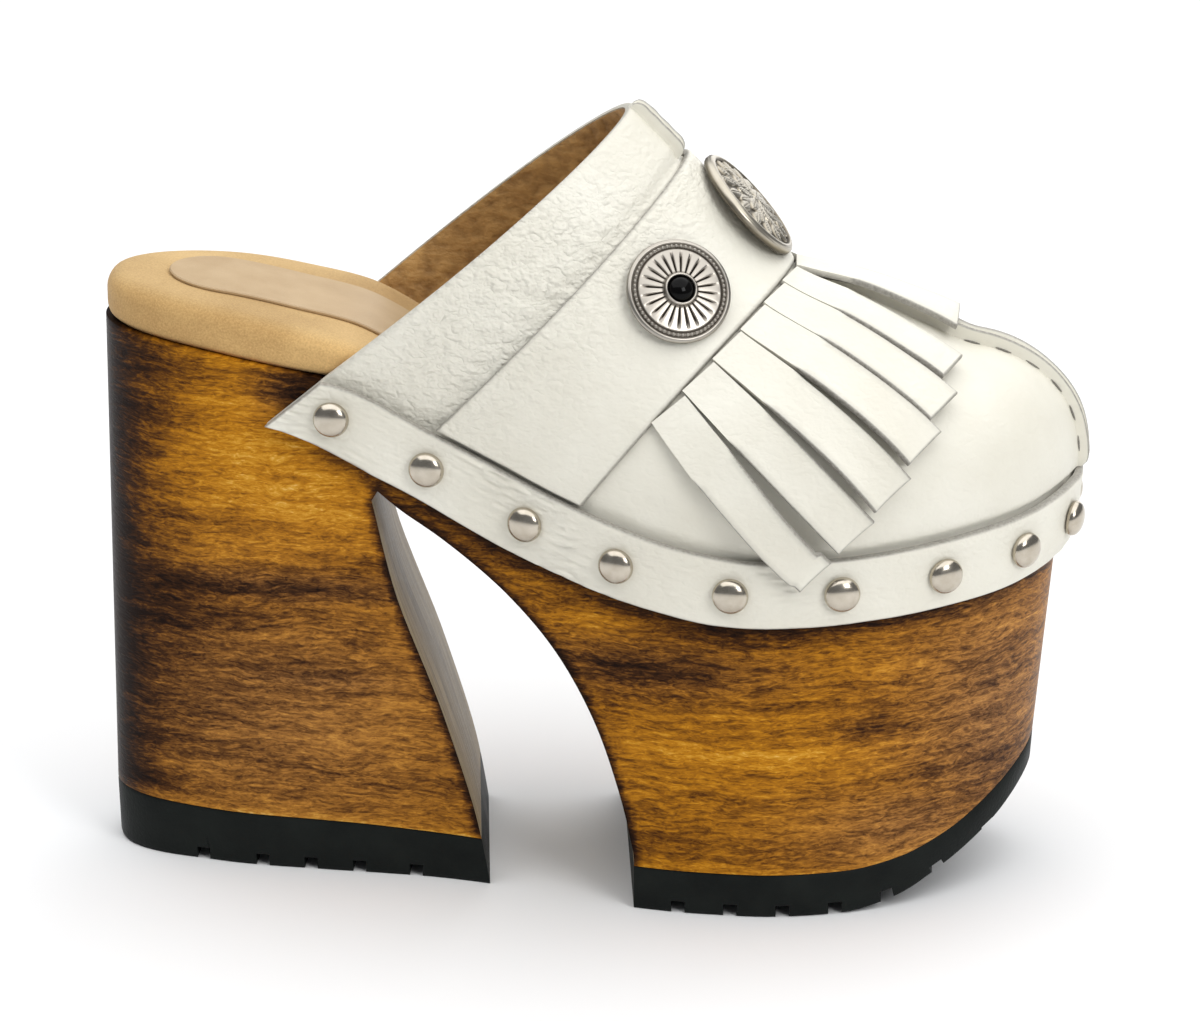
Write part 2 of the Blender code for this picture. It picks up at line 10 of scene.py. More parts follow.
import bmesh
import bpy
import numpy as np
from mathutils import Matrix, Vector
from mathutils.kdtree import KDTree


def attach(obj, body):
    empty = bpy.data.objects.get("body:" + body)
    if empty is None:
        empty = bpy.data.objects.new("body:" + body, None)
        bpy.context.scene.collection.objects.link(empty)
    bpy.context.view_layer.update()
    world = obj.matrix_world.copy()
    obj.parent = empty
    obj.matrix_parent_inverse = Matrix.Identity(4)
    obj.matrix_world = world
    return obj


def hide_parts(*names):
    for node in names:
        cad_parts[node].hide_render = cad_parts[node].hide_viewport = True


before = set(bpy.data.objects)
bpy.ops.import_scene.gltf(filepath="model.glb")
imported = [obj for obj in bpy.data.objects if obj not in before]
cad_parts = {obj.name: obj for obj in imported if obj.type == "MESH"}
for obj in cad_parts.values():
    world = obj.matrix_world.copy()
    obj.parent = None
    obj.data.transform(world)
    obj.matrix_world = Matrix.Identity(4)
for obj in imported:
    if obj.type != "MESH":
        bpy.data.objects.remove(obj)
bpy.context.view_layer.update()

# %% [markdown]
# ## The last
# A shoemaker builds everything round one form, the last. Here it is a handful of tables and a few
# functions that take whole arrays, so that a grid of points is worked out in one call. Stations run
# along the shoe from the back of the heel, and offsets run across it. A cage could be pulled into the
# same form by hand, but tables keep the sizes of the solids.

# %% Tables of the last
OUTER, INNER = -1, 1
ORIGIN = np.array([0.1186, -0.0059, 0.0])
WOOD_LENGTH = 0.231
SEAT_GAP = 0.0003
EDGE_SAMPLES = 241

# Plan of the platform's top before its ends are rounded: station, outer and inner offset
PLAN = (
    (0.000, 0.0310, 0.0310),
    (0.046, 0.0312, 0.0312),
    (0.075, 0.0328, 0.0305),
    (0.095, 0.0362, 0.0298),
    (0.112, 0.0415, 0.0308),
    (0.128, 0.0468, 0.0335),
    (0.145, 0.0500, 0.0372),
    (0.162, 0.0512, 0.0395),
    (0.185, 0.0510, 0.0405),
    (0.231, 0.0480, 0.0385),
)
HEEL_ROUND = (0.060, 2.2)
TOE_ROUND = (0.075, 2.05)

# Heights along the platform: station, top of the wood, underside of the wood, tread, inward draft
PROFILE = (
    (0.000, 0.1340, 0.0152, 0.0000, -0.0005),
    (0.024, 0.1315, 0.0138, 0.0000, 0.0045),
    (0.047, 0.1280, 0.0134, 0.0000, 0.0050),
    (0.060, 0.1258, 0.0131, 0.0000, 0.0045),
    (0.083, 0.1150, 0.0120, 0.0000, 0.0035),
    (0.117, 0.1006, 0.0112, 0.0000, 0.0015),
    (0.145, 0.0926, 0.0110, 0.0000, 0.0010),
    (0.160, 0.0909, 0.0110, 0.0000, 0.0010),
    (0.180, 0.0917, 0.0112, 0.0002, 0.0020),
    (0.194, 0.0930, 0.0128, 0.0025, 0.0035),
    (0.207, 0.0945, 0.0168, 0.0080, 0.0050),
    (0.220, 0.0962, 0.0240, 0.0155, 0.0058),
    (0.231, 0.0990, 0.0320, 0.0245, 0.0060),
)

# Ribs of the upper: station on the rand's top edge, height of the rand, station, offset and height
# of the ridge, sharpness of the flank, swell of the sides
RIBS = (
    (0.0555, 0.0115, 0.1265, -0.0020, 0.1866, 0.67, 0.125),
    (0.0820, 0.0124, 0.1388, -0.0020, 0.1742, 0.67, 0.110),
    (0.1172, 0.0136, 0.1650, -0.0020, 0.1480, 0.68, 0.075),
    (0.1450, 0.0148, 0.1808, -0.0018, 0.1420, 0.70, 0.050),
    (0.1700, 0.0165, 0.1965, -0.0012, 0.1348, 0.74, 0.035),
    (0.1950, 0.0170, 0.2100, -0.0005, 0.1292, 0.77, 0.020),
    (0.2120, 0.0172, 0.2195, -0.0002, 0.1285, 0.80, 0.010),
    (0.2333, 0.0178, 0.2333, 0.0000, 0.1290, 0.80, 0.000),
)
UPPER_WALL = 0.0020
UPPER_FACE = SEAT_GAP + UPPER_WALL
UPPER_TIP = WOOD_LENGTH + UPPER_FACE
NOSE_ROUND = (0.042, 2.3)
COLLAR, SADDLE_REAR, SADDLE_FRONT = (row[0] for row in RIBS[:3])
print("rows of plan, profile and ribs:", len(PLAN), len(PROFILE), len(RIBS))


# %% Functions of the last
def smooth(stations, values):
    """Return a function through the points that has no kinks and does not overshoot."""
    x, y = np.array(stations, float), np.array(values, float)
    step = np.diff(y) / np.diff(x)
    before, after = step[:-1], step[1:]
    same_way = before * after > 0
    total = np.where(same_way, before + after, 1.0)
    slope = np.concatenate([step[:1], np.where(same_way, 2 * before * after / total, 0.0), step[-1:]])

    def value(at):
        at = np.clip(at, x[0], x[-1])
        i = np.clip(np.searchsorted(x, at) - 1, 0, len(x) - 2)
        width = x[i + 1] - x[i]
        u = (at - x[i]) / width
        lead = u * (1 - u) ** 2 * width * slope[i]
        tail = u * u * (1 - u) * width * slope[i + 1]
        return y[i] + (y[i + 1] - y[i]) * u * u * (3 - 2 * u) + lead - tail

    return value


def columns(table):
    """Return a smooth function of the first column for each other column of a table."""
    rows = np.array(table, float)
    return [smooth(rows[:, 0], rows[:, k]) for k in range(1, rows.shape[1])]


def rounded(distance, length, power):
    """Fullness of a rounded end, from 0 at the very end to 1 where the rounding stops."""
    u = np.clip(1 - np.asarray(distance) / length, 0, 1)
    return (1 - u**power) ** (1 / power)


def unit(vectors):
    """Vectors brought to length one."""
    return vectors / np.linalg.norm(vectors, axis=-1, keepdims=True)


def run_along(points):
    """Distance of each point of a row from its start, along the row."""
    return np.concatenate([[0], np.cumsum(np.linalg.norm(np.diff(points, axis=0), axis=1))])


print("half way between 2 and 4:", smooth((0, 1), (2, 4))(0.5))

# %% Edges of the platform
PLAN_OUTER, PLAN_INNER = columns(PLAN)
WOOD_TOP, WOOD_UNDER, TREAD, DRAFT = columns(PROFILE)
RAND_DROP, RIDGE_STATION, RIDGE_OFFSET, RIDGE_HEIGHT, FLANK, SWELL = columns(RIBS)


def plan_edge(side):
    """Station, offset and outward normal along one edge of the platform's top, heel to toe."""
    station = WOOD_LENGTH * (1 - np.cos(np.linspace(0, math.pi, EDGE_SAMPLES))) / 2
    plan = PLAN_OUTER if side == OUTER else PLAN_INNER
    half = plan(station) * rounded(station, *HEEL_ROUND) * rounded(WOOD_LENGTH - station, *TOE_ROUND)
    normal = unit(np.stack([-np.gradient(half), np.gradient(station)], axis=1))
    normal[0], normal[-1] = (-1, 0), (1, 0)
    return np.column_stack([station, side * half, normal[:, 0], side * normal[:, 1]])


EDGES = {side: plan_edge(side) for side in (OUTER, INNER)}
print("widest offsets:", [round(float(np.abs(edge[:, 1]).max()), 4) for edge in EDGES.values()])


# %% Points on the upper
def wall_point(station, inset, side):
    """Station and offset on the upper's outer face, moved inwards by the inset."""
    edge = EDGES[side]
    face = edge[:, :2] + edge[:, 2:] * UPPER_FACE
    ahead, across = (np.interp(station, face[:, 0], edge[:, k]) for k in (2, 3))
    return station - inset * ahead, np.interp(station, face[:, 0], face[:, 1]) - inset * across


def upper_point(station, level, side):
    """Points on the upper's outer face. Level 0 and 1 are the rand's edges, and 2 is the ridge."""
    station, level = np.broadcast_arrays(np.asarray(station, float), np.asarray(level, float))
    top = WOOD_TOP(station)
    rise = (RIDGE_HEIGHT(station) - top) * rounded(UPPER_TIP - station, *NOSE_ROUND)
    lean = (RIDGE_STATION(station) - station) / np.maximum(rise, 1e-5)
    drop = RAND_DROP(station) * np.clip(1 - level, 0, 1)
    foot = station - lean * drop
    inset = DRAFT(foot) * (WOOD_TOP(foot) - top + drop) / (WOOD_TOP(foot) - WOOD_UNDER(foot))
    low = np.stack([*wall_point(foot, inset, side), top - drop], axis=-1)
    flank = FLANK(station)
    angle = np.clip(level - 1, 0, 1) ** (1 / flank) * math.pi / 2
    up = np.sin(angle) ** flank
    across = np.maximum(np.cos(angle), 0) * (1 + SWELL(station) * 4 * up * (1 - up))
    ridge = RIDGE_OFFSET(station)
    offset = ridge + (wall_point(station, 0, side)[1] - ridge) * across
    high = np.stack([station + lean * rise * up, offset, top + rise * up], axis=-1)
    return np.where(level[..., None] <= 1, low, high) - ORIGIN


def over_ridge(station, level, side):
    """As upper_point, for levels that run on past the ridge to the other side."""
    level = np.asarray(level, float)
    near = upper_point(station, np.minimum(level, 2), side)
    far = upper_point(station, np.minimum(4 - level, 2), -side)
    return np.where(level[..., None] <= 2, near, far)


# Steps in station and level over which the slope of the leather is measured
SLOPE_STEPS = (0.001, 0.02)


def upper_normal(station, level, side):
    """Outward unit normals of the upper's outer face."""
    step, rise = SLOPE_STEPS
    along = over_ridge(station + step, level, side) - over_ridge(station - step, level, side)
    climb = over_ridge(station, level + rise, side) - over_ridge(station, level - rise, side)
    return unit(-side * np.cross(along, climb))


for word, station, level in (("collar peak:", COLLAR, 2.0), ("tip of the toe:", UPPER_TIP, 0.5)):
    print(word, upper_point(station, level, OUTER).round(4))

# %% [markdown]
# ## From points to pieces
# A piece of leather is a slab: a grid of points and a second grid one thickness away, joined round
# the border. Close to a free edge the slab thins a little, which rounds the edge off; a Solidify
# modifier would leave it square. Wood, rubber and footbed are stacks of outlines. Every finished
# piece sits at the origin as a plain mesh and rides on the shoe's one body.

# %% Mesh helpers
def quads(rows, across, first=0):
    """Corner numbers of the faces of a grid."""
    corner = first + (np.arange(rows - 1)[:, None] * across + np.arange(across - 1)).ravel()
    return np.stack([corner, corner + across, corner + across + 1, corner + 1], axis=1)


def linked(name, mesh):
    """Object of a mesh, put in the scene."""
    piece = bpy.data.objects.new(name, mesh)
    bpy.context.scene.collection.objects.link(piece)
    return piece


def add_mark(mesh, name, values, domain="POINT"):
    """Keep a value for each point or face of a mesh under a name."""
    attribute = mesh.attributes.new(name, "FLOAT", domain)
    attribute.data.foreach_set("value", np.ravel(values).astype(np.float32))


# Points nearer than this are welded, and faces thinner than this are dissolved
WELD = 0.00001
SLIVER = 0.000005


def new_piece(name, points, faces, marks=None):
    """Make an object from points and faces, with point attributes, and weld its doubled points."""
    mesh = bpy.data.meshes.new(name)
    mesh.from_pydata(np.reshape(points, (-1, 3)).tolist(), [], [list(face) for face in faces])
    for mark, values in (marks or {}).items():
        add_mark(mesh, mark, values)
    shape = bmesh.new()
    shape.from_mesh(mesh)
    bmesh.ops.remove_doubles(shape, verts=shape.verts, dist=WELD)
    bmesh.ops.dissolve_degenerate(shape, dist=SLIVER, edges=shape.edges)
    shape.to_mesh(mesh)
    shape.free()
    return linked(name, mesh)


def point_outwards(piece):
    """Turn the faces of a closed piece outwards."""
    shape = bmesh.new()
    shape.from_mesh(piece.data)
    bmesh.ops.recalc_face_normals(shape, faces=shape.faces)
    shape.to_mesh(piece.data)
    shape.free()


def modify(piece, kind, **settings):
    """Add a modifier with its settings."""
    modifier = piece.modifiers.new(kind.title(), kind)
    for setting, value in settings.items():
        setattr(modifier, setting, value)


def settle(piece):
    """Turn a piece with its modifiers into a plain mesh."""
    graph = bpy.context.evaluated_depsgraph_get()
    mesh = bpy.data.meshes.new_from_object(piece.evaluated_get(graph))
    piece.modifiers.clear()
    piece.data = mesh


def dress(piece, material, slot, *nodes, crease=math.radians(38)):
    """Shade a piece, give it its material, and let it stand for its solids on the shoe."""
    piece.data.materials.clear()
    piece.data.materials.append(material)
    piece.data.shade_smooth()
    piece.data.set_sharp_from_angle(angle=crease)
    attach(piece, "root")
    if nodes:
        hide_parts(*nodes)
    print(piece.name, "faces:", len(piece.data.polygons))


# %% Grids and their borders
# A normal shorter than this is of a corner that has shrunk to a point, which happens at the tip only
FLAT = 1e-14


def grid_normals(grid):
    """Outward unit normals of a grid of points; the tip looks ahead."""
    normal = np.cross(np.gradient(grid, axis=0), np.gradient(grid, axis=1))
    length = np.linalg.norm(normal, axis=2, keepdims=True)
    return np.where(length > FLAT, normal / np.maximum(length, FLAT), [1.0, 0.0, 0.0])


def border_distance(grid, ends=(1, 1), sides=(1, 1)):
    """Distance of each point of a grid from its free borders, given as ends and sides."""
    nearest = np.full(grid.shape[:2], 1.0)
    for axis, free in ((0, ends), (1, sides)):
        length = np.linalg.norm(np.diff(grid, axis=axis), axis=2)
        start = np.zeros_like(np.take(length, [0], axis=axis))
        run = np.concatenate([start, np.cumsum(length, axis=axis)], axis=axis)
        whole = np.take(run, [-1], axis=axis)
        for is_free, distance in zip(free, (run, whole - run)):
            if is_free:
                nearest = np.minimum(nearest, distance)
    return nearest


def lipped(first, last, count, lip):
    """Values from first to last, packed closely within a lip at both ends."""
    close = np.array([0.0, 0.12, 0.35, 0.65, 1.0]) * lip
    middle = np.linspace(first + lip, last - lip, count)
    return np.concatenate([first + close[:-1], middle, last - close[-2::-1]])


print("values with a lip of 0.1:", lipped(0.0, 1.0, 3, 0.1).round(3))

# %% Slabs of leather
# A raw cut edge fades out on the face of the leather, over the rounded edge, where its dark also stands
# for painted shade along the edge: length of the fade, and its end in such lengths
RAW_AND_SHADE_FADE = 0.0005
RAW_AND_SHADE_END = 1.3


def slab_shape(
    base, thickness, ends=(1, 1), sides=(1, 1), relief=0.0, edge=0.0006, lip=0.45, joined=0.0, fray=1.0
):
    """Points, faces and raw edge mark of leather on a grid, rounded at free borders that aren't joined;
    the mark's dark is partly painted shade.
    """
    normals = grid_normals(base)
    away = border_distance(base, ends, sides) + joined
    fullness = rounded(away, edge, 2)
    height = thickness * (lip + (1 - lip) * fullness) + relief * fullness
    face = base + normals * np.asarray(height)[..., None]
    rows, across = base.shape[:2]
    size = rows * across
    below = quads(rows, across)[:, ::-1]
    above = quads(rows, across, size)
    index = np.arange(size).reshape(rows, across)
    loop = np.concatenate([index[0, :-1], index[:-1, -1], index[-1, :0:-1], index[:0:-1, 0]])
    following = np.roll(loop, -1)
    rim = np.stack([loop, following, following + size, loop + size], axis=1)
    raw_and_shade = fray * np.array([np.ones((rows, across)), np.clip(RAW_AND_SHADE_END - away / RAW_AND_SHADE_FADE, 0, 1)])
    return np.array([base, face]), np.concatenate([below, above, rim]), raw_and_shade


def slab(name, bases, thickness, pebble, **settings):
    """Piece of leather from one or more grids, with how pebbled it is."""
    points, faces, raw_and_shade_marks, pebbles = [], [], [], []
    for base in bases:
        shape, corners, raw_and_shade = slab_shape(base, thickness, **settings)
        faces.append(corners + sum(len(done) for done in points))
        points.append(shape.reshape(-1, 3))
        raw_and_shade_marks.append(raw_and_shade.ravel())
        pebbles.append(np.broadcast_to(pebble, raw_and_shade.shape).ravel())
    marks = {"raw_and_shade": np.concatenate(raw_and_shade_marks), "pebble": np.concatenate(pebbles)}
    return new_piece(name, np.concatenate(points), np.concatenate(faces), marks)


# %% Stacks of outlines
def stacked(name, rings):
    """Closed solid from rings, bottom to top; each ring is its outer and its inner edge, heel to toe."""
    count = len(rings[0][0])
    size = 2 * count
    points = np.concatenate([np.concatenate([outer, inner[::-1]]) for outer, inner in rings])
    low = (np.arange(len(rings) - 1)[:, None] * size + np.arange(size)).ravel()
    following = np.where(low % size == size - 1, low - size + 1, low + 1)
    faces = [np.stack([low, following, following + size, low + size], axis=1)]
    k = np.arange(count - 1)
    cap = np.stack([k, k + 1, size - 2 - k, size - 1 - k], axis=1)
    faces += [cap[:, ::-1], cap + (len(rings) - 1) * size]
    return new_piece(name, points, np.concatenate(faces))


def ring(outset, height, first=0.0, last=1.0, settled=False):
    """Both edges of the platform's plan, moved outwards; settled takes the height at the new place."""
    edges = []
    for side in (OUTER, INNER):
        edge = EDGES[side]
        edge = edge[(edge[:, 0] >= first) & (edge[:, 0] <= last)]
        moved = edge[:, :2] + edge[:, 2:] * np.reshape(outset(edge[:, 0]), (-1, 1))
        edges.append(np.column_stack([moved, height((moved if settled else edge)[:, 0])]) - ORIGIN)
    return edges


print("points of an outline:", 2 * len(ring(DRAFT, TREAD)[0]))

# %% [markdown]
# ## Shared effects
# Leather, suede, lining, rubber and wood all have a grain and an uneven tone. Each effect is a node
# group that is built once and placed in a material with its own values, which is easier to change
# than the same nodes copied into each material. Finishes that only drift between two tones share
# one function.

# %% Node helpers
def node(tree, kind, inputs=None, **settings):
    """Add a node; an input is a value or the socket that feeds it."""
    made = tree.nodes.new(kind)
    for setting, value in settings.items():
        setattr(made, setting, value)
    for socket, value in (inputs or {}).items():
        if isinstance(value, bpy.types.NodeSocket):
            tree.links.new(value, made.inputs[socket])
        else:
            made.inputs[socket].default_value = value
    return made


def math_node(tree, operation, *values):
    """Result of a sum on values and sockets."""
    return node(tree, "ShaderNodeMath", dict(enumerate(values)), operation=operation).outputs[0]


def ramp(tree, factor, *stops):
    """Colour ramp of position and colour."""
    made = node(tree, "ShaderNodeValToRGB", {"Fac": factor})
    elements = made.color_ramp.elements
    while len(elements) < len(stops):
        elements.new(0.5)
    for element, (position, colour) in zip(elements, stops):
        element.position = position
        element.color = (*colour, 1)
    return made.outputs["Color"]


# Sockets of the mix node that hold colours; the node has others of the same names
MIX_FACTOR, MIX_FIRST, MIX_SECOND, MIX_RESULT = 0, 6, 7, 2


def mix(tree, factor, first, second, blend="MIX"):
    """Mix two colours by a factor."""
    inputs = {MIX_FACTOR: factor, MIX_FIRST: first, MIX_SECOND: second}
    return node(tree, "ShaderNodeMix", inputs, data_type="RGBA", blend_type=blend).outputs[MIX_RESULT]


# %% Shared groups
def group(name, inputs, outputs):
    """New shader node group with named sockets; returns its tree, its inputs and its output node."""
    tree = bpy.data.node_groups.new(name, "ShaderNodeTree")
    for socket, value in inputs.items():
        kind = "NodeSocketVector" if value is None else "NodeSocketFloat"
        made = tree.interface.new_socket(socket, in_out="INPUT", socket_type=kind)
        if value is not None:
            made.default_value = value
    for socket in outputs:
        tree.interface.new_socket(socket, in_out="OUTPUT", socket_type="NodeSocketFloat")
    return tree, tree.nodes.new("NodeGroupInput").outputs, tree.nodes.new("NodeGroupOutput")


def make_grain_group():
    """Pebbled skin: rounded cells of a size, softened by a finer roughness."""
    tree, given, out = group("skin_grain", {"Vector": None, "Cells per metre": 700.0}, ("Height",))
    wobble = node(tree, "ShaderNodeTexNoise", {"Vector": given["Vector"], "Scale": 260.0, "Detail": 2.0})
    shifted = {0: wobble.outputs["Color"], 1: (0.0022, 0.0022, 0.0022), 2: given["Vector"]}
    place = node(tree, "ShaderNodeVectorMath", shifted, operation="MULTIPLY_ADD").outputs[0]
    sizes = {"Vector": place, "Scale": given["Cells per metre"], "Smoothness": 0.6}
    cells = node(tree, "ShaderNodeTexVoronoi", sizes, feature="SMOOTH_F1")
    fine = node(tree, "ShaderNodeTexNoise", {"Vector": given["Vector"], "Scale": 2600.0, "Detail": 3.0})
    domes = math_node(tree, "SUBTRACT", 1.0, cells.outputs["Distance"])
    height = math_node(tree, "MULTIPLY_ADD", fine.outputs["Fac"], 0.3, domes)
    tree.links.new(height, out.inputs["Height"])
    return tree


def make_mottle_group():
    """Slow drift of tone, as a value about one half."""
    sockets = {"Vector": None, "Patches per metre": 60.0, "Detail": 3.0}
    tree, given, out = group("mottle", sockets, ("Tone",))
    sizes = {"Vector": given["Vector"], "Scale": given["Patches per metre"], "Detail": given["Detail"]}
    noise = node(tree, "ShaderNodeTexNoise", sizes)
    tree.links.new(noise.outputs["Fac"], out.inputs["Tone"])
    return tree


GRAIN = make_grain_group()
MOTTLE = make_mottle_group()
print("groups:", GRAIN.name, MOTTLE.name)


# %% Material helpers
def skin_grain(tree, place, cells):
    """Height of a pebbled skin, with so many cells a metre."""
    inputs = {"Vector": place, "Cells per metre": cells}
    return node(tree, "ShaderNodeGroup", inputs, node_tree=GRAIN).outputs["Height"]


def mottle(tree, place, patches, detail=3.0):
    """Drifting tone, with so many patches a metre."""
    inputs = {"Vector": place, "Patches per metre": patches, "Detail": detail}
    return node(tree, "ShaderNodeGroup", inputs, node_tree=MOTTLE).outputs["Tone"]


def new_material(name, **sockets):
    """Material with constants on its shader; returns it, its tree, its shader and Object coordinates."""
    material = bpy.data.materials.new(name)
    material.use_nodes = True
    tree = material.node_tree
    shader = tree.nodes["Principled BSDF"]
    for socket, value in sockets.items():
        shader.inputs[socket.replace("_", " ")].default_value = value
    place = node(tree, "ShaderNodeTexCoord").outputs["Object"]
    return material, tree, shader, place


def feed(tree, shader, **sockets):
    """Link what changes over the surface to the shader."""
    for socket, value in sockets.items():
        tree.links.new(value, shader.inputs[socket.replace("_", " ")])


def bump(tree, height, distance):
    """Normal from a height, with its real depth in metres."""
    inputs = {"Height": height, "Distance": distance, "Strength": 1.0}
    return node(tree, "ShaderNodeBump", inputs).outputs["Normal"]


def mark_value(tree, name):
    """Value of a mark on the mesh."""
    return node(tree, "ShaderNodeAttribute", attribute_name=name).outputs["Fac"]


def stretched(tree, place, *scale):
    """Coordinates stretched along each axis."""
    return node(tree, "ShaderNodeMapping", {"Vector": place, "Scale": scale}).outputs[0]


def plain_finish(name, patches, dark, light, rough, stops=(0.3, 0.7), depth=None, **sockets):
    """Finish that drifts between two colours; rough is its change with the tone and its start."""
    material, tree, shader, place = new_material(name, **sockets)
    tone = mottle(tree, place, patches)
    colour = ramp(tree, tone, (stops[0], dark), (stops[1], light))
    feed(tree, shader, Base_Color=colour, Roughness=math_node(tree, "MULTIPLY_ADD", tone, *rough))
    if depth:
        height_of, count, distance = depth
        feed(tree, shader, Normal=bump(tree, height_of(tree, place, count), distance))
    return material


# %% [markdown]
# ## White leather
# The leather is a warm white with a soft shine. A point attribute says how pebbled it is: strongly
# behind the saddle, less and less across the saddle, hardly at all on the toe. The pebbling is far
# finer than the mesh, so it is a bump. A second attribute marks the raw cut edge, which is a fibrous
# grey-cream. The mark is painted darker than that and reaches over the rounded edges, as painted shade
# in the slits of the fringe and along the edges of rand and saddle.

# %% White leather
def make_white_leather():
    """White leather with a raw edge whose dark is partly painted shade, crinkled where it is marked as
    pebbled.
    """
    material, tree, shader, place = new_material(
        "white_leather", Coat_Weight=0.08, Coat_Roughness=0.3, Specular_IOR_Level=0.45
    )
    tone = mottle(tree, place, 38.0)
    face = ramp(tree, tone, (0.3, (0.720, 0.690, 0.590)), (0.7, (0.800, 0.775, 0.680)))
    fibre = mottle(tree, place, 1500.0)
    # Grey-cream of the raw edge, darkened further as painted shade in the fringe's slits and along edges
    cut = ramp(tree, fibre, (0.3, (0.25, 0.235, 0.205)), (0.7, (0.41, 0.39, 0.345)))
    colour = mix(tree, mark_value(tree, "raw_and_shade"), face, cut)
    pebble = mark_value(tree, "pebble")
    skin = math_node(tree, "MULTIPLY", skin_grain(tree, place, 900.0), 0.35)
    crumple = mottle(tree, stretched(tree, place, 1.0, 1.0, 1.4), 260.0, 2.5)
    crinkle = math_node(tree, "ABSOLUTE", math_node(tree, "SUBTRACT", crumple, 0.5))
    height = math_node(tree, "MULTIPLY_ADD", crinkle, 6.5, skin)
    height = math_node(tree, "MULTIPLY", height, math_node(tree, "ADD", pebble, 0.08))
    rough = math_node(tree, "MULTIPLY_ADD", tone, 0.25, 0.36)
    feed(tree, shader, Base_Color=colour, Roughness=rough, Normal=bump(tree, height, 0.0004))
    return material


WHITE_LEATHER = make_white_leather()
print(WHITE_LEATHER.name)

# %% [markdown]
# ## Wooden platform
# The block is one carved piece with its grain lying along the shoe. It is a stack of outlines from
# the last, and a boolean carves the gap between heel and forefoot. The gap could be modelled face by
# face, but the same cutter also trims the treads. A bevel breaks the carved edges. The grain has to
# run round the curved heel without a seam, so the mesh gets a map of its own: the distance round the
# outline, mirrored so that it meets itself at heel and toe, and the height.

# %% Carved gap and wooden block
# Side view of the gap, up the heel's breast and then down the waist to the forefoot: station, height
GAP_BREAST = ((0.0925, -0.006), (0.0890, 0.0143), (0.0807, 0.0426), (0.0690, 0.0750), (0.0641, 0.0966))
GAP_WAIST = (
    (0.0655, 0.0990),
    (0.0710, 0.0945),
    (0.0812, 0.0876),
    (0.0960, 0.0756),
    (0.1080, 0.0619),
    (0.1180, 0.0426),
    (0.1245, 0.0200),
    (0.1258, 0.0112),
    (0.1258, -0.006),
)
WOOD_LEVELS = 45
WOOD_BEVEL = 0.0007
GAP_SKEW = math.radians(5.0)
GAP_REACH = 0.09
GAP_PIVOT = GAP_WAIST[3][0]


def curve_through(points, count):
    """Smooth run of points through a few given ones."""
    x, z = columns([(k, *point) for k, point in enumerate(points)])
    steps = np.linspace(0, len(points) - 1, count)
    return np.column_stack([x(steps), z(steps)])


def make_gap_cutter():
    """Block with the side view of the carved gap, running right across the shoe."""
    profile = np.concatenate([curve_through(GAP_BREAST, 30), curve_through(GAP_WAIST, 90)])
    count = len(profile)
    points = []
    for reach in (-GAP_REACH, GAP_REACH):
        turned = Matrix.Rotation(GAP_SKEW, 2) @ Vector((0, reach))
        for x, z in profile:
            along = (x - GAP_PIVOT) * math.cos(GAP_SKEW) + turned.x
            aside = (x - GAP_PIVOT) * math.sin(GAP_SKEW) + turned.y
            points.append((GAP_PIVOT + along - ORIGIN[0], aside - ORIGIN[1], z))
    k = np.arange(count)
    sides = np.stack([k, (k + 1) % count, (k + 1) % count + count, k + count], axis=1)
    faces = [list(face) for face in sides] + [list(k[::-1]), list(k + count)]
    cutter = new_piece("gap_cutter", points, faces)
    point_outwards(cutter)
    return cutter


def carve(piece, *cutters):
    """Cut shapes out of a piece; the cut faces keep material number one."""
    piece.data.materials.append(bpy.data.materials.new("skin"))
    cut = {"operation": "DIFFERENCE", "solver": "EXACT", "material_mode": "TRANSFER"}
    for cutter in cutters:
        cutter.data.materials.clear()
        cutter.data.materials.append(CUT_FACE)
        modify(piece, "BOOLEAN", object=cutter, **cut)


def break_edges(piece, width, angle):
    """Bevel the edges that are sharper than an angle."""
    modify(piece, "BEVEL", width=width, segments=2, limit_method="ANGLE", angle_limit=angle)


CUT_FACE = bpy.data.materials.new("cut_face")
gap_cutter = make_gap_cutter()


def wood_ring(share):
    """Outline of the block at a share of its height."""

    def height(station):
        return WOOD_UNDER(station) + (WOOD_TOP(station) - WOOD_UNDER(station)) * share

    return ring(lambda station: -DRAFT(station) * (1 - share), height)


wood = stacked("wooden_platform", [wood_ring(share) for share in np.linspace(0, 1, WOOD_LEVELS)])
carve(wood, gap_cutter)
break_edges(wood, WOOD_BEVEL, math.radians(40))
settle(wood)
print("wood faces:", len(wood.data.polygons))
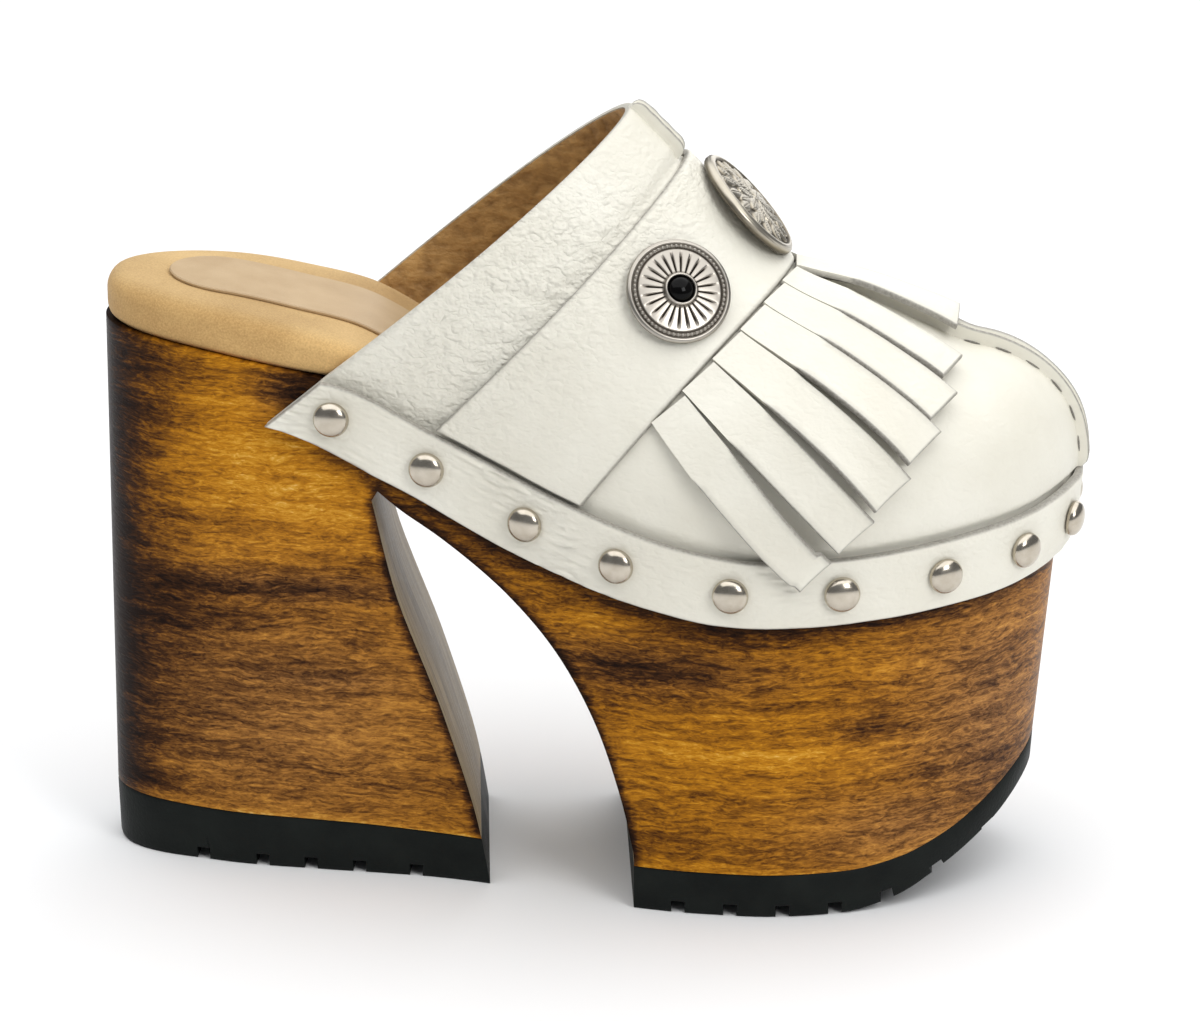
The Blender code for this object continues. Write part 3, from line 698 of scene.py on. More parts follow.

# %% [markdown]
# ### Grain map, toned areas and painted shade
# The varnish was toned by hand: amber glows and smoky bands lie across the block. Painted shade makes
# the back of the heel nearly black, and painted shadows darken the top of the heel's back and the wood
# under the rand's rear end. They are a short table of soft ovals on the grain map. Painted shade also
# darkens the wood just below the rand, the wood is darker along the carved edges, and the foot of the
# wood is worn to a light line. Each point keeps their sum as an attribute, so the toning and the painted
# shade follow the wood from every side. The carved faces of the gap take a greyer brown, with upright
# fibres; a face attribute marks them.

# %% Toned areas and painted shade
# Toned areas of the varnish and patches of painted shade: distance round from the heel's back (outer side
# below zero), height, half length, half height, change of tone, dullness
TONE_AND_SHADE_AREAS = (
    # Painted shade: the back of the heel, darkened nearly to black
    (0.0000, 0.0700, 0.020, 0.1200, -0.78, 0.0),
    # Painted shadow under the footbed at the top of the heel's back
    (-0.0250, 0.1280, 0.016, 0.0160, -0.22, 0.0),
    (-0.0530, 0.1060, 0.026, 0.0200, 0.20, 0.0),
    (-0.0720, 0.0920, 0.022, 0.0100, 0.14, 0.0),
    # Painted shadow on the wood below the rand's rear end
    (-0.0620, 0.1225, 0.008, 0.0055, -0.40, 0.3),
    (-0.0600, 0.0735, 0.034, 0.0050, -0.22, 0.5),
    (-0.0300, 0.0660, 0.014, 0.0100, -0.20, 0.0),
    (-0.0640, 0.0500, 0.034, 0.0050, -0.15, 0.6),
    (-0.0560, 0.0400, 0.050, 0.0350, -0.03, 0.5),
    (-0.0780, 0.0310, 0.020, 0.0100, 0.08, 0.0),
    (-0.1480, 0.0615, 0.034, 0.0068, -0.29, 0.3),
    (-0.1354, 0.0700, 0.012, 0.0050, 0.16, 0.0),
    (-0.1700, 0.0480, 0.040, 0.0120, 0.09, 0.0),
    (-0.1850, 0.0405, 0.045, 0.0022, 0.13, 0.0),
    (-0.2053, 0.0475, 0.010, 0.0040, -0.24, 0.2),
    (-0.2000, 0.0672, 0.028, 0.0060, 0.09, 0.0),
    (-0.2450, 0.0450, 0.030, 0.0400, -0.05, 0.8),
    (-0.2190, 0.0200, 0.030, 0.0120, -0.04, 0.6),
    (0.0550, 0.1000, 0.026, 0.0200, 0.18, 0.0),
    (0.0640, 0.0700, 0.036, 0.0060, -0.24, 0.4),
    (0.0500, 0.0350, 0.045, 0.0300, -0.03, 0.4),
    (0.1500, 0.0640, 0.040, 0.0060, -0.28, 0.3),
    (0.1800, 0.0420, 0.050, 0.0100, 0.12, 0.0),
    (0.2400, 0.0450, 0.030, 0.0400, -0.06, 0.7),
    (0.2100, 0.0250, 0.030, 0.0080, -0.16, 0.3),
)
# Painted shade on the wood along the lower edge of the rand, where the rand overhangs it: change of tone,
# reach downwards
RAND_SHADE = (-0.42, 0.0044)
# The painted shade below the rand fades in over this length from the rand's rear end
RAND_SHADE_FADE = 0.016
# Darker tone along the carved edges: change of tone, reach
CARVED_EDGE_DARKENING = (-0.48, 0.0014)
# Light worn line along the foot of the wood: change of tone, reach upwards
FOOT_WEAR = (0.24, 0.0017)
# The grain meets itself at the heel and the toe; in between the inner side drifts off by this much
GRAIN_SHIFT = 0.010
# The carved faces take their grain from another part of the map, this far along
CARVED_SHIFT = 0.5
print("toned areas:", len(TONE_AND_SHADE_AREAS))

# %% Grain map
# Points are measured against the outline in batches, to save memory
BATCH = 4000


def around_outline(points):
    """Distance round the outline from the heel's back, below zero on the outer side."""
    samples, runs = [], []
    for side in (OUTER, INNER):
        edge = EDGES[side][:, :2]
        samples.append(edge - ORIGIN[:2])
        runs.append(side * run_along(edge))
    samples, runs = np.concatenate(samples), np.concatenate(runs)
    found = np.empty(len(points))
    for start in range(0, len(points), BATCH):
        part = points[start : start + BATCH]
        distance = np.linalg.norm(part[:, None, :2] - samples[None], axis=2)
        found[start : start + BATCH] = runs[distance.argmin(axis=1)]
    return found


def rand_shade(points):
    """Painted shade on the wood just below the rand, as a change of tone."""
    foot = upper_point(np.linspace(COLLAR, UPPER_TIP, 200), 0.0, OUTER)
    below = np.interp(points[:, 0], foot[:, 0], foot[:, 2]) - points[:, 2]
    change, reach = RAND_SHADE
    stain = change * np.exp(-((np.maximum(below, 0) / reach) ** 2))
    return stain * np.clip((points[:, 0] - foot[0, 0]) / RAND_SHADE_FADE, 0, 1) ** 1.5


def map_grain(piece):
    """Give the wood its grain map, and mark on it the toned areas and the painted shade."""
    mesh = piece.data
    points = np.empty(len(mesh.vertices) * 3, np.float32)
    mesh.vertices.foreach_get("co", points)
    points = points.reshape(-1, 3)
    around = around_outline(points)
    tone_and_shade, dull = rand_shade(points), np.zeros(len(points))
    carved = set()
    carved_face = np.zeros(len(mesh.polygons))
    shift = GRAIN_SHIFT * np.sin(np.maximum(around, 0) / around.max() * math.pi)
    along, up = -np.abs(around), points[:, 2] + shift
    layer = mesh.uv_layers.new(name="grain_map")
    for polygon in mesh.polygons:
        is_cut = polygon.material_index > 0
        if is_cut:
            carved.update(polygon.vertices)
            carved_face[polygon.index] = 1
        for loop in polygon.loop_indices:
            vertex = mesh.loops[loop].vertex_index
            across = points[vertex][1] + CARVED_SHIFT
            layer.data[loop].uv = (across if is_cut else along[vertex], up[vertex])
    near_cut = KDTree(len(carved))
    for vertex in carved:
        near_cut.insert(points[vertex], vertex)
    near_cut.balance()
    from_cut = np.array([near_cut.find(point)[2] for point in points])
    from_foot = points[:, 2] - WOOD_UNDER(points[:, 0] + ORIGIN[0])
    for (change, reach), distance in ((CARVED_EDGE_DARKENING, from_cut), (FOOT_WEAR, from_foot)):
        tone_and_shade += change * np.exp(-((distance / reach) ** 2))
    for centre, height, half_length, half_height, change, dullness in TONE_AND_SHADE_AREAS:
        away = ((around - centre) / half_length) ** 2 + ((points[:, 2] - height) / half_height) ** 2
        tone_and_shade += change * np.exp(-away)
        dull = np.maximum(dull, dullness * np.exp(-away))
    add_mark(mesh, "tone_and_shade", tone_and_shade)
    add_mark(mesh, "dull", dull)
    add_mark(mesh, "carved_face", carved_face, "FACE")
    mesh.polygons.foreach_set("material_index", np.zeros(len(mesh.polygons), np.int32))
    print("carved faces:", int(carved_face.sum()), "tone from", tone_and_shade.min().round(2), "to", tone_and_shade.max().round(2))


map_grain(wood)


# %% Varnished wood
# Streaks of the grain: repeats a metre along and across, detail, distortion, strength
WOOD_GRAIN = (
    (16.0, 50.0, 3.0, 0.0, 0.42),
    (15.0, 260.0, 4.0, 0.3, 0.60),
    (120.0, 640.0, 4.0, 1.4, 0.84),
    (420.0, 1300.0, 3.0, 1.2, 0.72),
)
GRAIN_TONE = 0.505 - sum(row[4] for row in WOOD_GRAIN) / 2
# Colours from the darkest tone to the lightest: tone, colour
WOOD_COLOURS = (
    (0.00, (0.010, 0.003, 0.001)),
    (0.22, (0.050, 0.017, 0.003)),
    (0.40, (0.160, 0.058, 0.005)),
    (0.55, (0.315, 0.121, 0.007)),
    (0.70, (0.485, 0.195, 0.009)),
    (0.86, (0.630, 0.310, 0.028)),
    (1.00, (0.760, 0.470, 0.130)),
)
# Fibres up the carved faces: repeats a metre across, up and in depth
CARVED_GRAIN = (520.0, 34.0, 1.0)


def make_varnished_wood():
    """Streaky amber wood under a gloss coat."""
    gloss = {"Coat_Weight": 0.05, "Coat_Roughness": 0.08, "Coat_IOR": 1.32, "Specular_IOR_Level": 0.05}
    material, tree, shader, _ = new_material("varnished_wood", **gloss)
    grain_map = node(tree, "ShaderNodeUVMap", uv_map="grain_map").outputs["UV"]
    wander = node(tree, "ShaderNodeTexNoise", {"Vector": grain_map, "Scale": 46.0, "Detail": 2.0})
    moved = {0: wander.outputs["Color"], 1: (0.004, 0.004, 0.0), 2: grain_map}
    bent = node(tree, "ShaderNodeVectorMath", moved, operation="MULTIPLY_ADD").outputs[0]
    # The tone carries the toned areas and the painted shade of the wood
    tone = math_node(tree, "ADD", mark_value(tree, "tone_and_shade"), GRAIN_TONE)
    for along, across, detail, bend, strength in WOOD_GRAIN:
        lines = stretched(tree, bent, along, across, 1.0)
        noise = {"Vector": lines, "Scale": 1.0, "Detail": detail, "Roughness": 0.6, "Distortion": bend}
        streak = node(tree, "ShaderNodeTexNoise", noise).outputs["Fac"]
        tone = math_node(tree, "MULTIPLY_ADD", streak, strength, tone)
    colour = ramp(tree, tone, *WOOD_COLOURS)
    vivid = math_node(tree, "MULTIPLY_ADD", mark_value(tree, "dull"), -0.16, 1.0)
    colour = node(tree, "ShaderNodeHueSaturation", {"Color": colour, "Saturation": vivid}).outputs["Color"]
    fibre = mottle(tree, stretched(tree, bent, *CARVED_GRAIN), 1.0, 4.0)
    # The carved faces take a greyer brown, with fibres running up them
    carved_face = ramp(tree, fibre, (0.28, (0.15, 0.105, 0.052)), (0.72, (0.40, 0.300, 0.165)))
    colour = mix(tree, mark_value(tree, "carved_face"), colour, carved_face)
    rough = math_node(tree, "MULTIPLY_ADD", streak, 0.2, 0.3)
    feed(tree, shader, Base_Color=colour, Roughness=rough, Normal=bump(tree, tone, 0.00018))
    return material


VARNISHED_WOOD = make_varnished_wood()
dress(wood, VARNISHED_WOOD, "varnished_wood", "sole_block")

# %% [markdown]
# ## Rubber treads
# Two plates of black rubber are glued under heel and forefoot, with grooves cut across them. The
# plates are stacks of outlines again, cut by the same gap, and by a row of bars for the grooves. A
# bump would do for the face of the rubber, but the grooves show in its outline, so they are real cuts.

# %% Treads
HEEL_GROOVES = (0.023, 0.038, 0.050, 0.062, 0.076)
FOREFOOT_GROOVES = (0.1405, 0.153, 0.1655, 0.178, 0.1905, 0.203, 0.2155)
GROOVE_WIDTH = 0.0032
GROOVE_DEPTH = 0.0030
# A bar lies along the tread's slope, measured this far before and behind it
GROOVE_STEP = 0.002
GLUE_GAP = 0.0001
TREAD_BEVEL = 0.0003
TREAD_SPLIT = 0.108
# Side of a tread: inset from the wood's foot and share of the tread's height
TREAD_SIDE = ((0.0010, 0.0), (0.0006, 0.03), (0.0004, 0.09), (0.0002, 0.5), (0.0, 0.93), (0.0003, 1.0))


def make_groove_cutter(name, stations):
    """Row of bars across the tread, each lying along the tread at its station."""
    shape = bmesh.new()
    for station in stations:
        slope = math.atan2(TREAD(station + GROOVE_STEP) - TREAD(station - GROOVE_STEP), 2 * GROOVE_STEP)
        size = Matrix.Diagonal((GROOVE_WIDTH, 2 * GAP_REACH, 2 * GROOVE_DEPTH, 1))
        middle = Matrix.Translation((station - ORIGIN[0], 0, float(TREAD(station))))
        bmesh.ops.create_cube(shape, size=1, matrix=middle @ Matrix.Rotation(-slope, 4, "Y") @ size)
    mesh = bpy.data.meshes.new(name)
    shape.to_mesh(mesh)
    shape.free()
    return linked(name, mesh)


def tread_ring(inset, share, first, last):
    """Outline of a tread at a share of its height."""

    def height(station):
        return TREAD(station) + (WOOD_UNDER(station) - GLUE_GAP - TREAD(station)) * share

    return ring(lambda station: -DRAFT(station) - inset, height, first, last)


# Near-black rubber, dull with a faint greenish cast
TREAD_RUBBER = plain_finish(
    "tread_rubber", 90.0, (0.004, 0.0055, 0.0050), (0.010, 0.0125, 0.0110), (0.3, 0.36),
    stops=(0.3, 0.75), depth=(mottle, 1400.0, 0.00012), Specular_IOR_Level=0.12,
)
for tread_name, first, last, stations in (
    ("heel_outsole", 0.0, TREAD_SPLIT, HEEL_GROOVES),
    ("forefoot_outsole", TREAD_SPLIT, 1.0, FOREFOOT_GROOVES),
):
    rings = [tread_ring(inset, share, first, last) for inset, share in TREAD_SIDE]
    tread = stacked("tread_" + tread_name, rings)
    groove_cutter = make_groove_cutter(tread_name + "_grooves", stations)
    carve(tread, gap_cutter, groove_cutter)
    break_edges(tread, TREAD_BEVEL, math.radians(50))
    settle(tread)
    tread.data.polygons.foreach_set("material_index", np.zeros(len(tread.data.polygons), np.int32))
    dress(tread, TREAD_RUBBER, "tread_rubber", tread_name)
    bpy.data.objects.remove(groove_cutter)
bpy.data.objects.remove(gap_cutter)

# %% [markdown]
# ## Footbed and label
# The footbed is a thick insole wrapped in tan suede, so its rim is soft and round. A bevel would turn
# every corner by the same radius; here a row of insets draws the rim's own curve. A thin leather label
# with round ends is glued on the heel and stays bare.

# %% Footbed
# Thickness of the footbed along the shoe: station, thickness
INSOLE_THICKNESS = ((0.000, 0.0112), (0.030, 0.0110), (0.060, 0.0092), (0.120, 0.0055), (0.231, 0.0040))
# Rim of the footbed: inset, share of the thickness
INSOLE_RIM = (
    (0.0020, 0.00), (0.0009, 0.10), (0.0005, 0.28), (0.0005, 0.58), (0.0012, 0.80),
    (0.0028, 0.95), (0.0050, 1.00), (0.0100, 1.01), (0.0170, 1.01),
)
(INSOLE_HEIGHT,) = columns(INSOLE_THICKNESS)


def make_tan_suede():
    """Brushed suede: a fine nap over drifting tan, darker where it faces up."""
    material, tree, shader, place = new_material("tan_suede", Sheen_Weight=0.12, Sheen_Roughness=0.4)
    tone = mottle(tree, place, 30.0, 4.0)
    nap = mottle(tree, place, 2100.0, 4.0)
    blend = math_node(tree, "MULTIPLY_ADD", nap, 0.45, math_node(tree, "MULTIPLY", tone, 0.7))
    colour = ramp(tree, blend, (0.36, (0.405, 0.232, 0.075)), (0.76, (0.725, 0.472, 0.192)))
    facing = node(tree, "ShaderNodeNewGeometry").outputs["Normal"]
    upwards = node(tree, "ShaderNodeSeparateXYZ", {"Vector": facing}).outputs["Z"]
    darker_facing_up = ramp(tree, upwards, (0.55, (1.0, 1.0, 1.0)), (0.97, (0.88, 0.925, 1.0)))
    colour = mix(tree, 1.0, colour, darker_facing_up, blend="MULTIPLY")
    rough = math_node(tree, "MULTIPLY_ADD", nap, 0.2, 0.75)
    feed(tree, shader, Base_Color=colour, Roughness=rough, Normal=bump(tree, nap, 0.00012))
    return material


def rim_ring(inset, share):
    """Ring of the footbed's rim."""

    def height(station):
        return WOOD_TOP(station) + SEAT_GAP + INSOLE_HEIGHT(station) * share

    return ring(lambda station: 0 * station - inset, height, settled=True)


rim_inset, rim_share = columns([(k, *row) for k, row in enumerate(INSOLE_RIM)])
rim_steps = np.linspace(0, len(INSOLE_RIM) - 1, 25)
footbed = stacked("suede_footbed", [rim_ring(rim_inset(k), rim_share(k)) for k in rim_steps])
TAN_SUEDE = make_tan_suede()
dress(footbed, TAN_SUEDE, "tan_suede", "insole")

# %% Bare label
CROWN = INSOLE_RIM[-1][1]
LABEL_ENDS = (0.0155, 0.0900)
LABEL_HALF_WIDTH = 0.0140
LABEL_THICKNESS = 0.0010
# Edge of the label, bottom to top: inset, lift
LABEL_EDGE = ((0.0002, 0.00005), (0.0, 0.0003), (0.0, LABEL_THICKNESS - 0.0003), (0.0003, LABEL_THICKNESS))


def label_ring(inset, lift):
    """Outline of the label, moved inwards, at a lift above the footbed."""
    start, end = LABEL_ENDS
    along = start + (end - start) * (1 - np.cos(np.linspace(0, math.pi, 121))) / 2
    half = LABEL_HALF_WIDTH * np.ones_like(along)
    for distance in (along - start, end - along):
        half = half * rounded(distance, LABEL_HALF_WIDTH, 2)
    shrink = 1 - inset / LABEL_HALF_WIDTH
    middle = (start + end) / 2
    station = middle + (along - middle) * (1 - 2 * inset / (end - start))
    bed = WOOD_TOP(station) + SEAT_GAP + INSOLE_HEIGHT(station) * CROWN
    sides = (OUTER, INNER)
    return [np.column_stack([station, side * half * shrink, bed + lift]) - ORIGIN for side in sides]


label = stacked("bare_label", [label_ring(*row) for row in LABEL_EDGE])
# Smooth pinkish leather, not dyed
LABEL_LEATHER = plain_finish(
    "label_leather", 120.0, (0.432, 0.298, 0.158), (0.490, 0.353, 0.201), (0.2, 0.42),
    depth=(skin_grain, 2200.0, 0.00006),
)
dress(label, LABEL_LEATHER, "label_leather", "insole_label")

# %% [markdown]
# ## Upper
# The upper is one hollow wall of leather, two millimetres thick, open at the collar and underneath.
# It is a slab on the last's own grid. Creases could be sculpted, but a table can be read and changed:
# each is a soft trough along a short line, and the leather behind the saddle carries a row of them.

# %% Creases of the collar and the toe
# Creases: station and level at both ends, half width and depth in metres
CREASES = (
    (0.0770, 1.10, 0.0800, 1.14, 0.0011, 0.00030),
    (0.0755, 1.18, 0.0805, 1.20, 0.0012, 0.00035),
    (0.0730, 1.24, 0.0800, 1.27, 0.0013, 0.00035),
    (0.0745, 1.31, 0.0805, 1.33, 0.0011, 0.00040),
    (0.0700, 1.36, 0.0800, 1.40, 0.0014, 0.00035),
    (0.0735, 1.44, 0.0803, 1.46, 0.0012, 0.00045),
    (0.0710, 1.50, 0.0800, 1.53, 0.0013, 0.00035),
    (0.0750, 1.58, 0.0805, 1.60, 0.0012, 0.00035),
    (0.0725, 1.66, 0.0800, 1.68, 0.0014, 0.00030),
    (0.0640, 1.22, 0.0690, 1.30, 0.0016, 0.00025),
    (0.0620, 1.40, 0.0690, 1.46, 0.0017, 0.00022),
    (0.1300, 1.08, 0.1500, 1.06, 0.0030, 0.00035),
    (0.1500, 1.16, 0.1680, 1.10, 0.0035, 0.00030),
)
# Raised lips beside a crease: share of its depth, distance from its middle in half widths
CREASE_LIPS = (0.4, 1.8)
SEAM_RISE = 0.0038
TOE_SEAM = (0.1230, UPPER_TIP)
COLLAR_SEAM = (COLLAR, SADDLE_REAR - 0.0010)
# Leather drawn up along the toe's seam: station where it starts, share of the rise at the tip, width
PULL = (0.195, 0.25, 0.0055)
# Tuck of the leather's lower edge at the toe: station where it starts, depth at the tip, level of its top
TUCK = (0.1950, 0.0020, 0.36)
# The upper follows this share of the rand's tuck
TUCK_SHARE = 0.85
# Trough behind the saddle: distance from its rear edge, width, depth
TROUGH = (0.0014, 0.0022, 0.0009)
# Dip of the leather along the rand's upper edge: half width as a share of the side, depth
RAND_DIP = (0.030, 0.0009)
# How pebbled the upper is along the shoe, and up its sides: station or level, amount
PEBBLE_ALONG = ((COLLAR, 0.50), (0.064, 0.85), (SADDLE_REAR, 1.0), (0.1, 0.10))
PEBBLE_UP = ((1.0, 0.6), (1.25, 0.9), (1.55, 0.9), (1.80, 0.25), (2.0, 0.15))
print("creases:", len(CREASES))


# %% Relief of the upper
def seam_pull(station):
    """How far the leather is drawn up to the seam, which grows towards the tip of the toe."""
    start, most, _ = PULL
    share = np.clip((np.asarray(station) - start) / (UPPER_TIP - start), 0, 1)
    return most * SEAM_RISE * share * share * (3 - 2 * share)


def tuck(station, level):
    """How far the lower edge of the leather is drawn in towards the wood at the toe."""
    start, depth, top = TUCK
    share = np.clip((station - start) / (UPPER_TIP - start), 0, 1) ** 1.5
    return depth * share * np.clip(1 - level / top, 0, 1) ** 2


def drawn_relief(grid, stations):
    """Leather drawn up along the toe's seam, and a soft trough beside the saddle's rear edge."""
    ridge = upper_point(stations, 2.0, OUTER)[:, None]
    away = np.linalg.norm(grid - ridge, axis=2)
    pull = seam_pull(stations)[:, None] * np.exp(-((away / PULL[2]) ** 2))
    distance, width, depth = TROUGH
    trough = depth * np.exp(-(((stations - SADDLE_REAR + distance) / width) ** 2))
    return pull - trough[:, None]


def crease_relief(grid, half):
    """Depth of the creases at each point of one half of the upper."""
    relief = np.zeros(grid.shape[:2])
    lip, beside = CREASE_LIPS
    for first_station, first_level, last_station, last_level, width, depth in CREASES:
        start = upper_point(first_station, first_level, half)
        line = upper_point(last_station, last_level, half) - start
        share = np.clip((grid - start) @ line / (line @ line), 0, 1)
        away = np.linalg.norm(grid - start - share[..., None] * line, axis=2)
        relief -= depth * np.exp(-((away / width) ** 2))
        relief += lip * depth * np.exp(-(((away - beside * width) / width) ** 2))
    return relief


def collar_to_tip(count, close):
    """Stations from the collar to the tip, packed closely at both ends."""
    stations = COLLAR + (UPPER_TIP - COLLAR) * np.sin(np.linspace(0, math.pi / 2, count))
    return np.concatenate([COLLAR + np.array(close), stations[1:]])


def both_halves(stations, levels):
    """Grids of the outer and the inner half of the upper's outer face."""
    return [upper_point(stations[:, None], levels[None], side) for side in (OUTER, INNER)]


def whole_rib(outer, inner):
    """Join a grid of the outer half and one of the inner half at the ridge."""
    return np.concatenate([outer, inner[:, -2::-1]], axis=1)


# %% Upper
upper_stations = collar_to_tip(150, (0.0, 0.0001, 0.00025, 0.00045))
side_levels = np.concatenate([np.linspace(0, 1, 8)[:-1], np.linspace(1, 2, 64)])
halves = both_halves(upper_stations, side_levels)
face = whole_rib(*halves)
relief = whole_rib(*(crease_relief(half, side) for half, side in zip(halves, (OUTER, INNER))))
relief = relief + drawn_relief(face, upper_stations)
tucked = tuck(upper_stations[:, None], side_levels[None])
relief = relief - TUCK_SHARE * whole_rib(tucked, tucked)
rand_dip = RAND_DIP[1] * np.exp(-(((side_levels[None] - 1) / RAND_DIP[0]) ** 2))
relief = relief - whole_rib(rand_dip, rand_dip)
pebble_along = np.interp(upper_stations, *zip(*PEBBLE_ALONG))
pebble_up = np.interp(side_levels, *zip(*PEBBLE_UP))
pebble = pebble_along[:, None] * whole_rib(pebble_up[None], pebble_up[None])
inner_face = face - grid_normals(face) * UPPER_WALL
upper = slab(
    "leather_upper", [inner_face], UPPER_WALL, pebble, ends=(1, 0), sides=(0, 0), relief=relief, fray=0.4
)
dress(upper, WHITE_LEATHER, "white_leather", "upper", crease=math.radians(60))

# %% [markdown]
# ### Lining
# A brown skin lines the inside. The upper's inner faces could be given a second material, but a thin
# slab just within the upper stops short of the raw edge, as the real lining does. Its face points
# inwards.

# %% Lining
LINING_GAP = 0.0001
LINING_THICKNESS = 0.0004
# Stations between which the upper is lined
LINED = (COLLAR + 0.0003, 0.2300)
lining_stations = upper_stations[(upper_stations > LINED[0]) & (upper_stations < LINED[1])]
lining_levels = np.linspace(1.0, 2.0, 60)
lined = whole_rib(*both_halves(lining_stations, lining_levels))
lining_face = lined - grid_normals(lined) * (UPPER_WALL + LINING_GAP)
lining = slab("lining", [lining_face[:, ::-1]], LINING_THICKNESS, 1.0, sides=(0, 0), edge=0.0003)


def make_lining_skin():
    """Brown lining with ripples, darker in their troughs as painted shade."""
    material, tree, shader, place = new_material("lining_skin", Sheen_Weight=0.15)
    tone = mottle(tree, place, 70.0, 4.0)
    ripple = mottle(tree, stretched(tree, place, 1.0, 1.0, 1.3), 260.0)
    colour = ramp(tree, tone, (0.3, (0.42, 0.230, 0.070)), (0.72, (0.64, 0.385, 0.135)))
    # Painted shade in the troughs of the ripples
    shade = ramp(tree, ripple, (0.30, (0.56, 0.51, 0.45)), (0.60, (1.0, 1.0, 1.0)))
    colour = mix(tree, 1.0, colour, shade, blend="MULTIPLY")
    rough = math_node(tree, "MULTIPLY_ADD", tone, 0.2, 0.5)
    feed(tree, shader, Base_Color=colour, Roughness=rough, Normal=bump(tree, ripple, 0.0009))
    return material


LINING_SKIN = make_lining_skin()
dress(lining, LINING_SKIN, "tan_suede", crease=math.radians(60))

# %% [markdown]
# ### Raised centre seam
# The two halves of the upper are sewn face to face, and their edges stand up as a pair of raw flaps
# along the ridge: at the collar, and from under the fringe down to the rand. A curve with a bevel
# object could draw them; here each flap is swept along the ridge by hand, so that its height can die
# away and its cut edge can be marked.

# %% Seam flaps
FLAP_THICKNESS = 0.0013
SEAM_ROOT = -0.0012
# Section of one flap: share of the thickness and share of the height, with its root below zero
FLAP_SECTION = (
    (0.04, -0.27), (1.25, -0.27), (1.12, 0.02), (1.05, 0.25), (1.22, 0.82), (1.18, 0.94), (1.00, 1.0),
    (0.62, 0.98), (0.42, 0.88), (0.16, 0.55),
)
# The outer flap was trimmed lower, so both cut edges show
FLAP_TRIM = {OUTER: 0.88, INNER: 1.0}
FLAP_ROOT = FLAP_SECTION[0][1]
# Ends of a flap: length of the round corner, share of the height that is left at the very end
FLAP_CORNER = 0.0034
FLAP_END = 0.30
# Share of the toe seam over which it rises from under the fringe
FLAP_GROWTH = 0.25
# Waves of a flap's height and of its middle: size, radians along the whole seam
FLAP_WAVE = (0.025, 23)
FLAP_WANDER = (0.00010, 19)
# Height of the flaps at the collar, as a share of the rise
COLLAR_SHARE = 0.80
# A seam that ends ahead of this station has its points packed closely towards the tip
TOE_START = 0.2


def ridge_line(first, last, count):
    """Points, normals, sideways directions, share of the way and height of a seam along the ridge."""
    share = np.linspace(0, 1, count)
    eased = np.sin(share * math.pi / 2) if last > TOE_START else share
    stations = first + (last - first) * eased
    points = upper_point(stations, 2.0, OUTER)
    ahead = unit(np.gradient(points, axis=0))
    aside = np.broadcast_to([0.0, 1.0, 0.0], points.shape)
    normals = unit(np.cross(ahead, aside))
    pull = seam_pull(stations)
    return points + normals * pull[:, None], normals, aside, share, SEAM_RISE - pull


def make_flap(name, ends, count, side, rising):
    """One raw flap of the seam."""
    points, normals, aside, share, height = ridge_line(*ends, count)
    run = run_along(points)
    corner = FLAP_END + (1 - FLAP_END) * rounded(np.minimum(run, run[-1] - run), FLAP_CORNER, 2)
    grown = np.clip(share / FLAP_GROWTH, 0.02, 1) if rising else COLLAR_SHARE
    wave, wobble = (size * np.sin(share * rate + side) for size, rate in (FLAP_WAVE, FLAP_WANDER))
    height = height * FLAP_TRIM[side] * corner * grown * (1 + wave)
    section = np.array(FLAP_SECTION)
    across = side * section[None, :, 0] * FLAP_THICKNESS + wobble[:, None]
    level = section[None, :, 1]
    up = np.where(level < 0, SEAM_ROOT * level / FLAP_ROOT, level * height[:, None])
    grid = points[:, None] + aside[:, None] * across[..., None] + normals[:, None] * up[..., None]
    size = len(section)
    ringed = np.concatenate([grid, grid[:, :1]], axis=1)
    last_rib = (count - 1) * (size + 1)
    faces = quads(count, size + 1).tolist() + [range(size), range(last_rib, last_rib + size)]
    # The cut edges take the raw edge mark, which is partly painted shade, and the rest of the flap a trace
    # of it
    cut = np.append((section[:, 1] > 0.9) | (section[:, 0] < 0.1), False)
    raw_and_shade = np.broadcast_to(cut, ringed.shape[:2])
    flap = new_piece(name, ringed, faces, {"raw_and_shade": np.maximum(raw_and_shade, 0.06)})
    point_outwards(flap)
    dress(flap, WHITE_LEATHER, "white_leather", crease=math.radians(50))


for word, side in (("outer", OUTER), ("inner", INNER)):
    make_flap("collar_seam_" + word, COLLAR_SEAM, 40, side, False)
    make_flap("toe_seam_" + word, TOE_SEAM, 120, side, True)

# %% [markdown]
# ## Rand
# A band of the same leather runs round the foot of the upper and is nailed to the wood. It is a slab
# with a shallow dimple round every nail, and fine wrinkles that run between the nails. A bump could
# draw them, but they are wide enough to be part of the mesh, and so they shade truly from every side.

# %% Rand
RAND_THICKNESS = 0.0020
NAIL_STATIONS = (0.0648, 0.0869, 0.1118, 0.1326, 0.1581, 0.1825, 0.2042, 0.2213, 0.2315)
NAIL_LEVEL = 0.50
# Dimple round a nail: reach, depth
DIMPLE = (0.0062, 0.00026)
WRINKLE_DEPTH = 0.00022
# Wavering of the wrinkles along the rand: share of its height, radians a metre, start
WRINKLE_DRIFT = ((0.10, 130, 0.0), (0.07, 291, 1.3), (0.05, 523, 0.4))
# The wrinkles die down this near to a nail
NAIL_CALM = 0.009
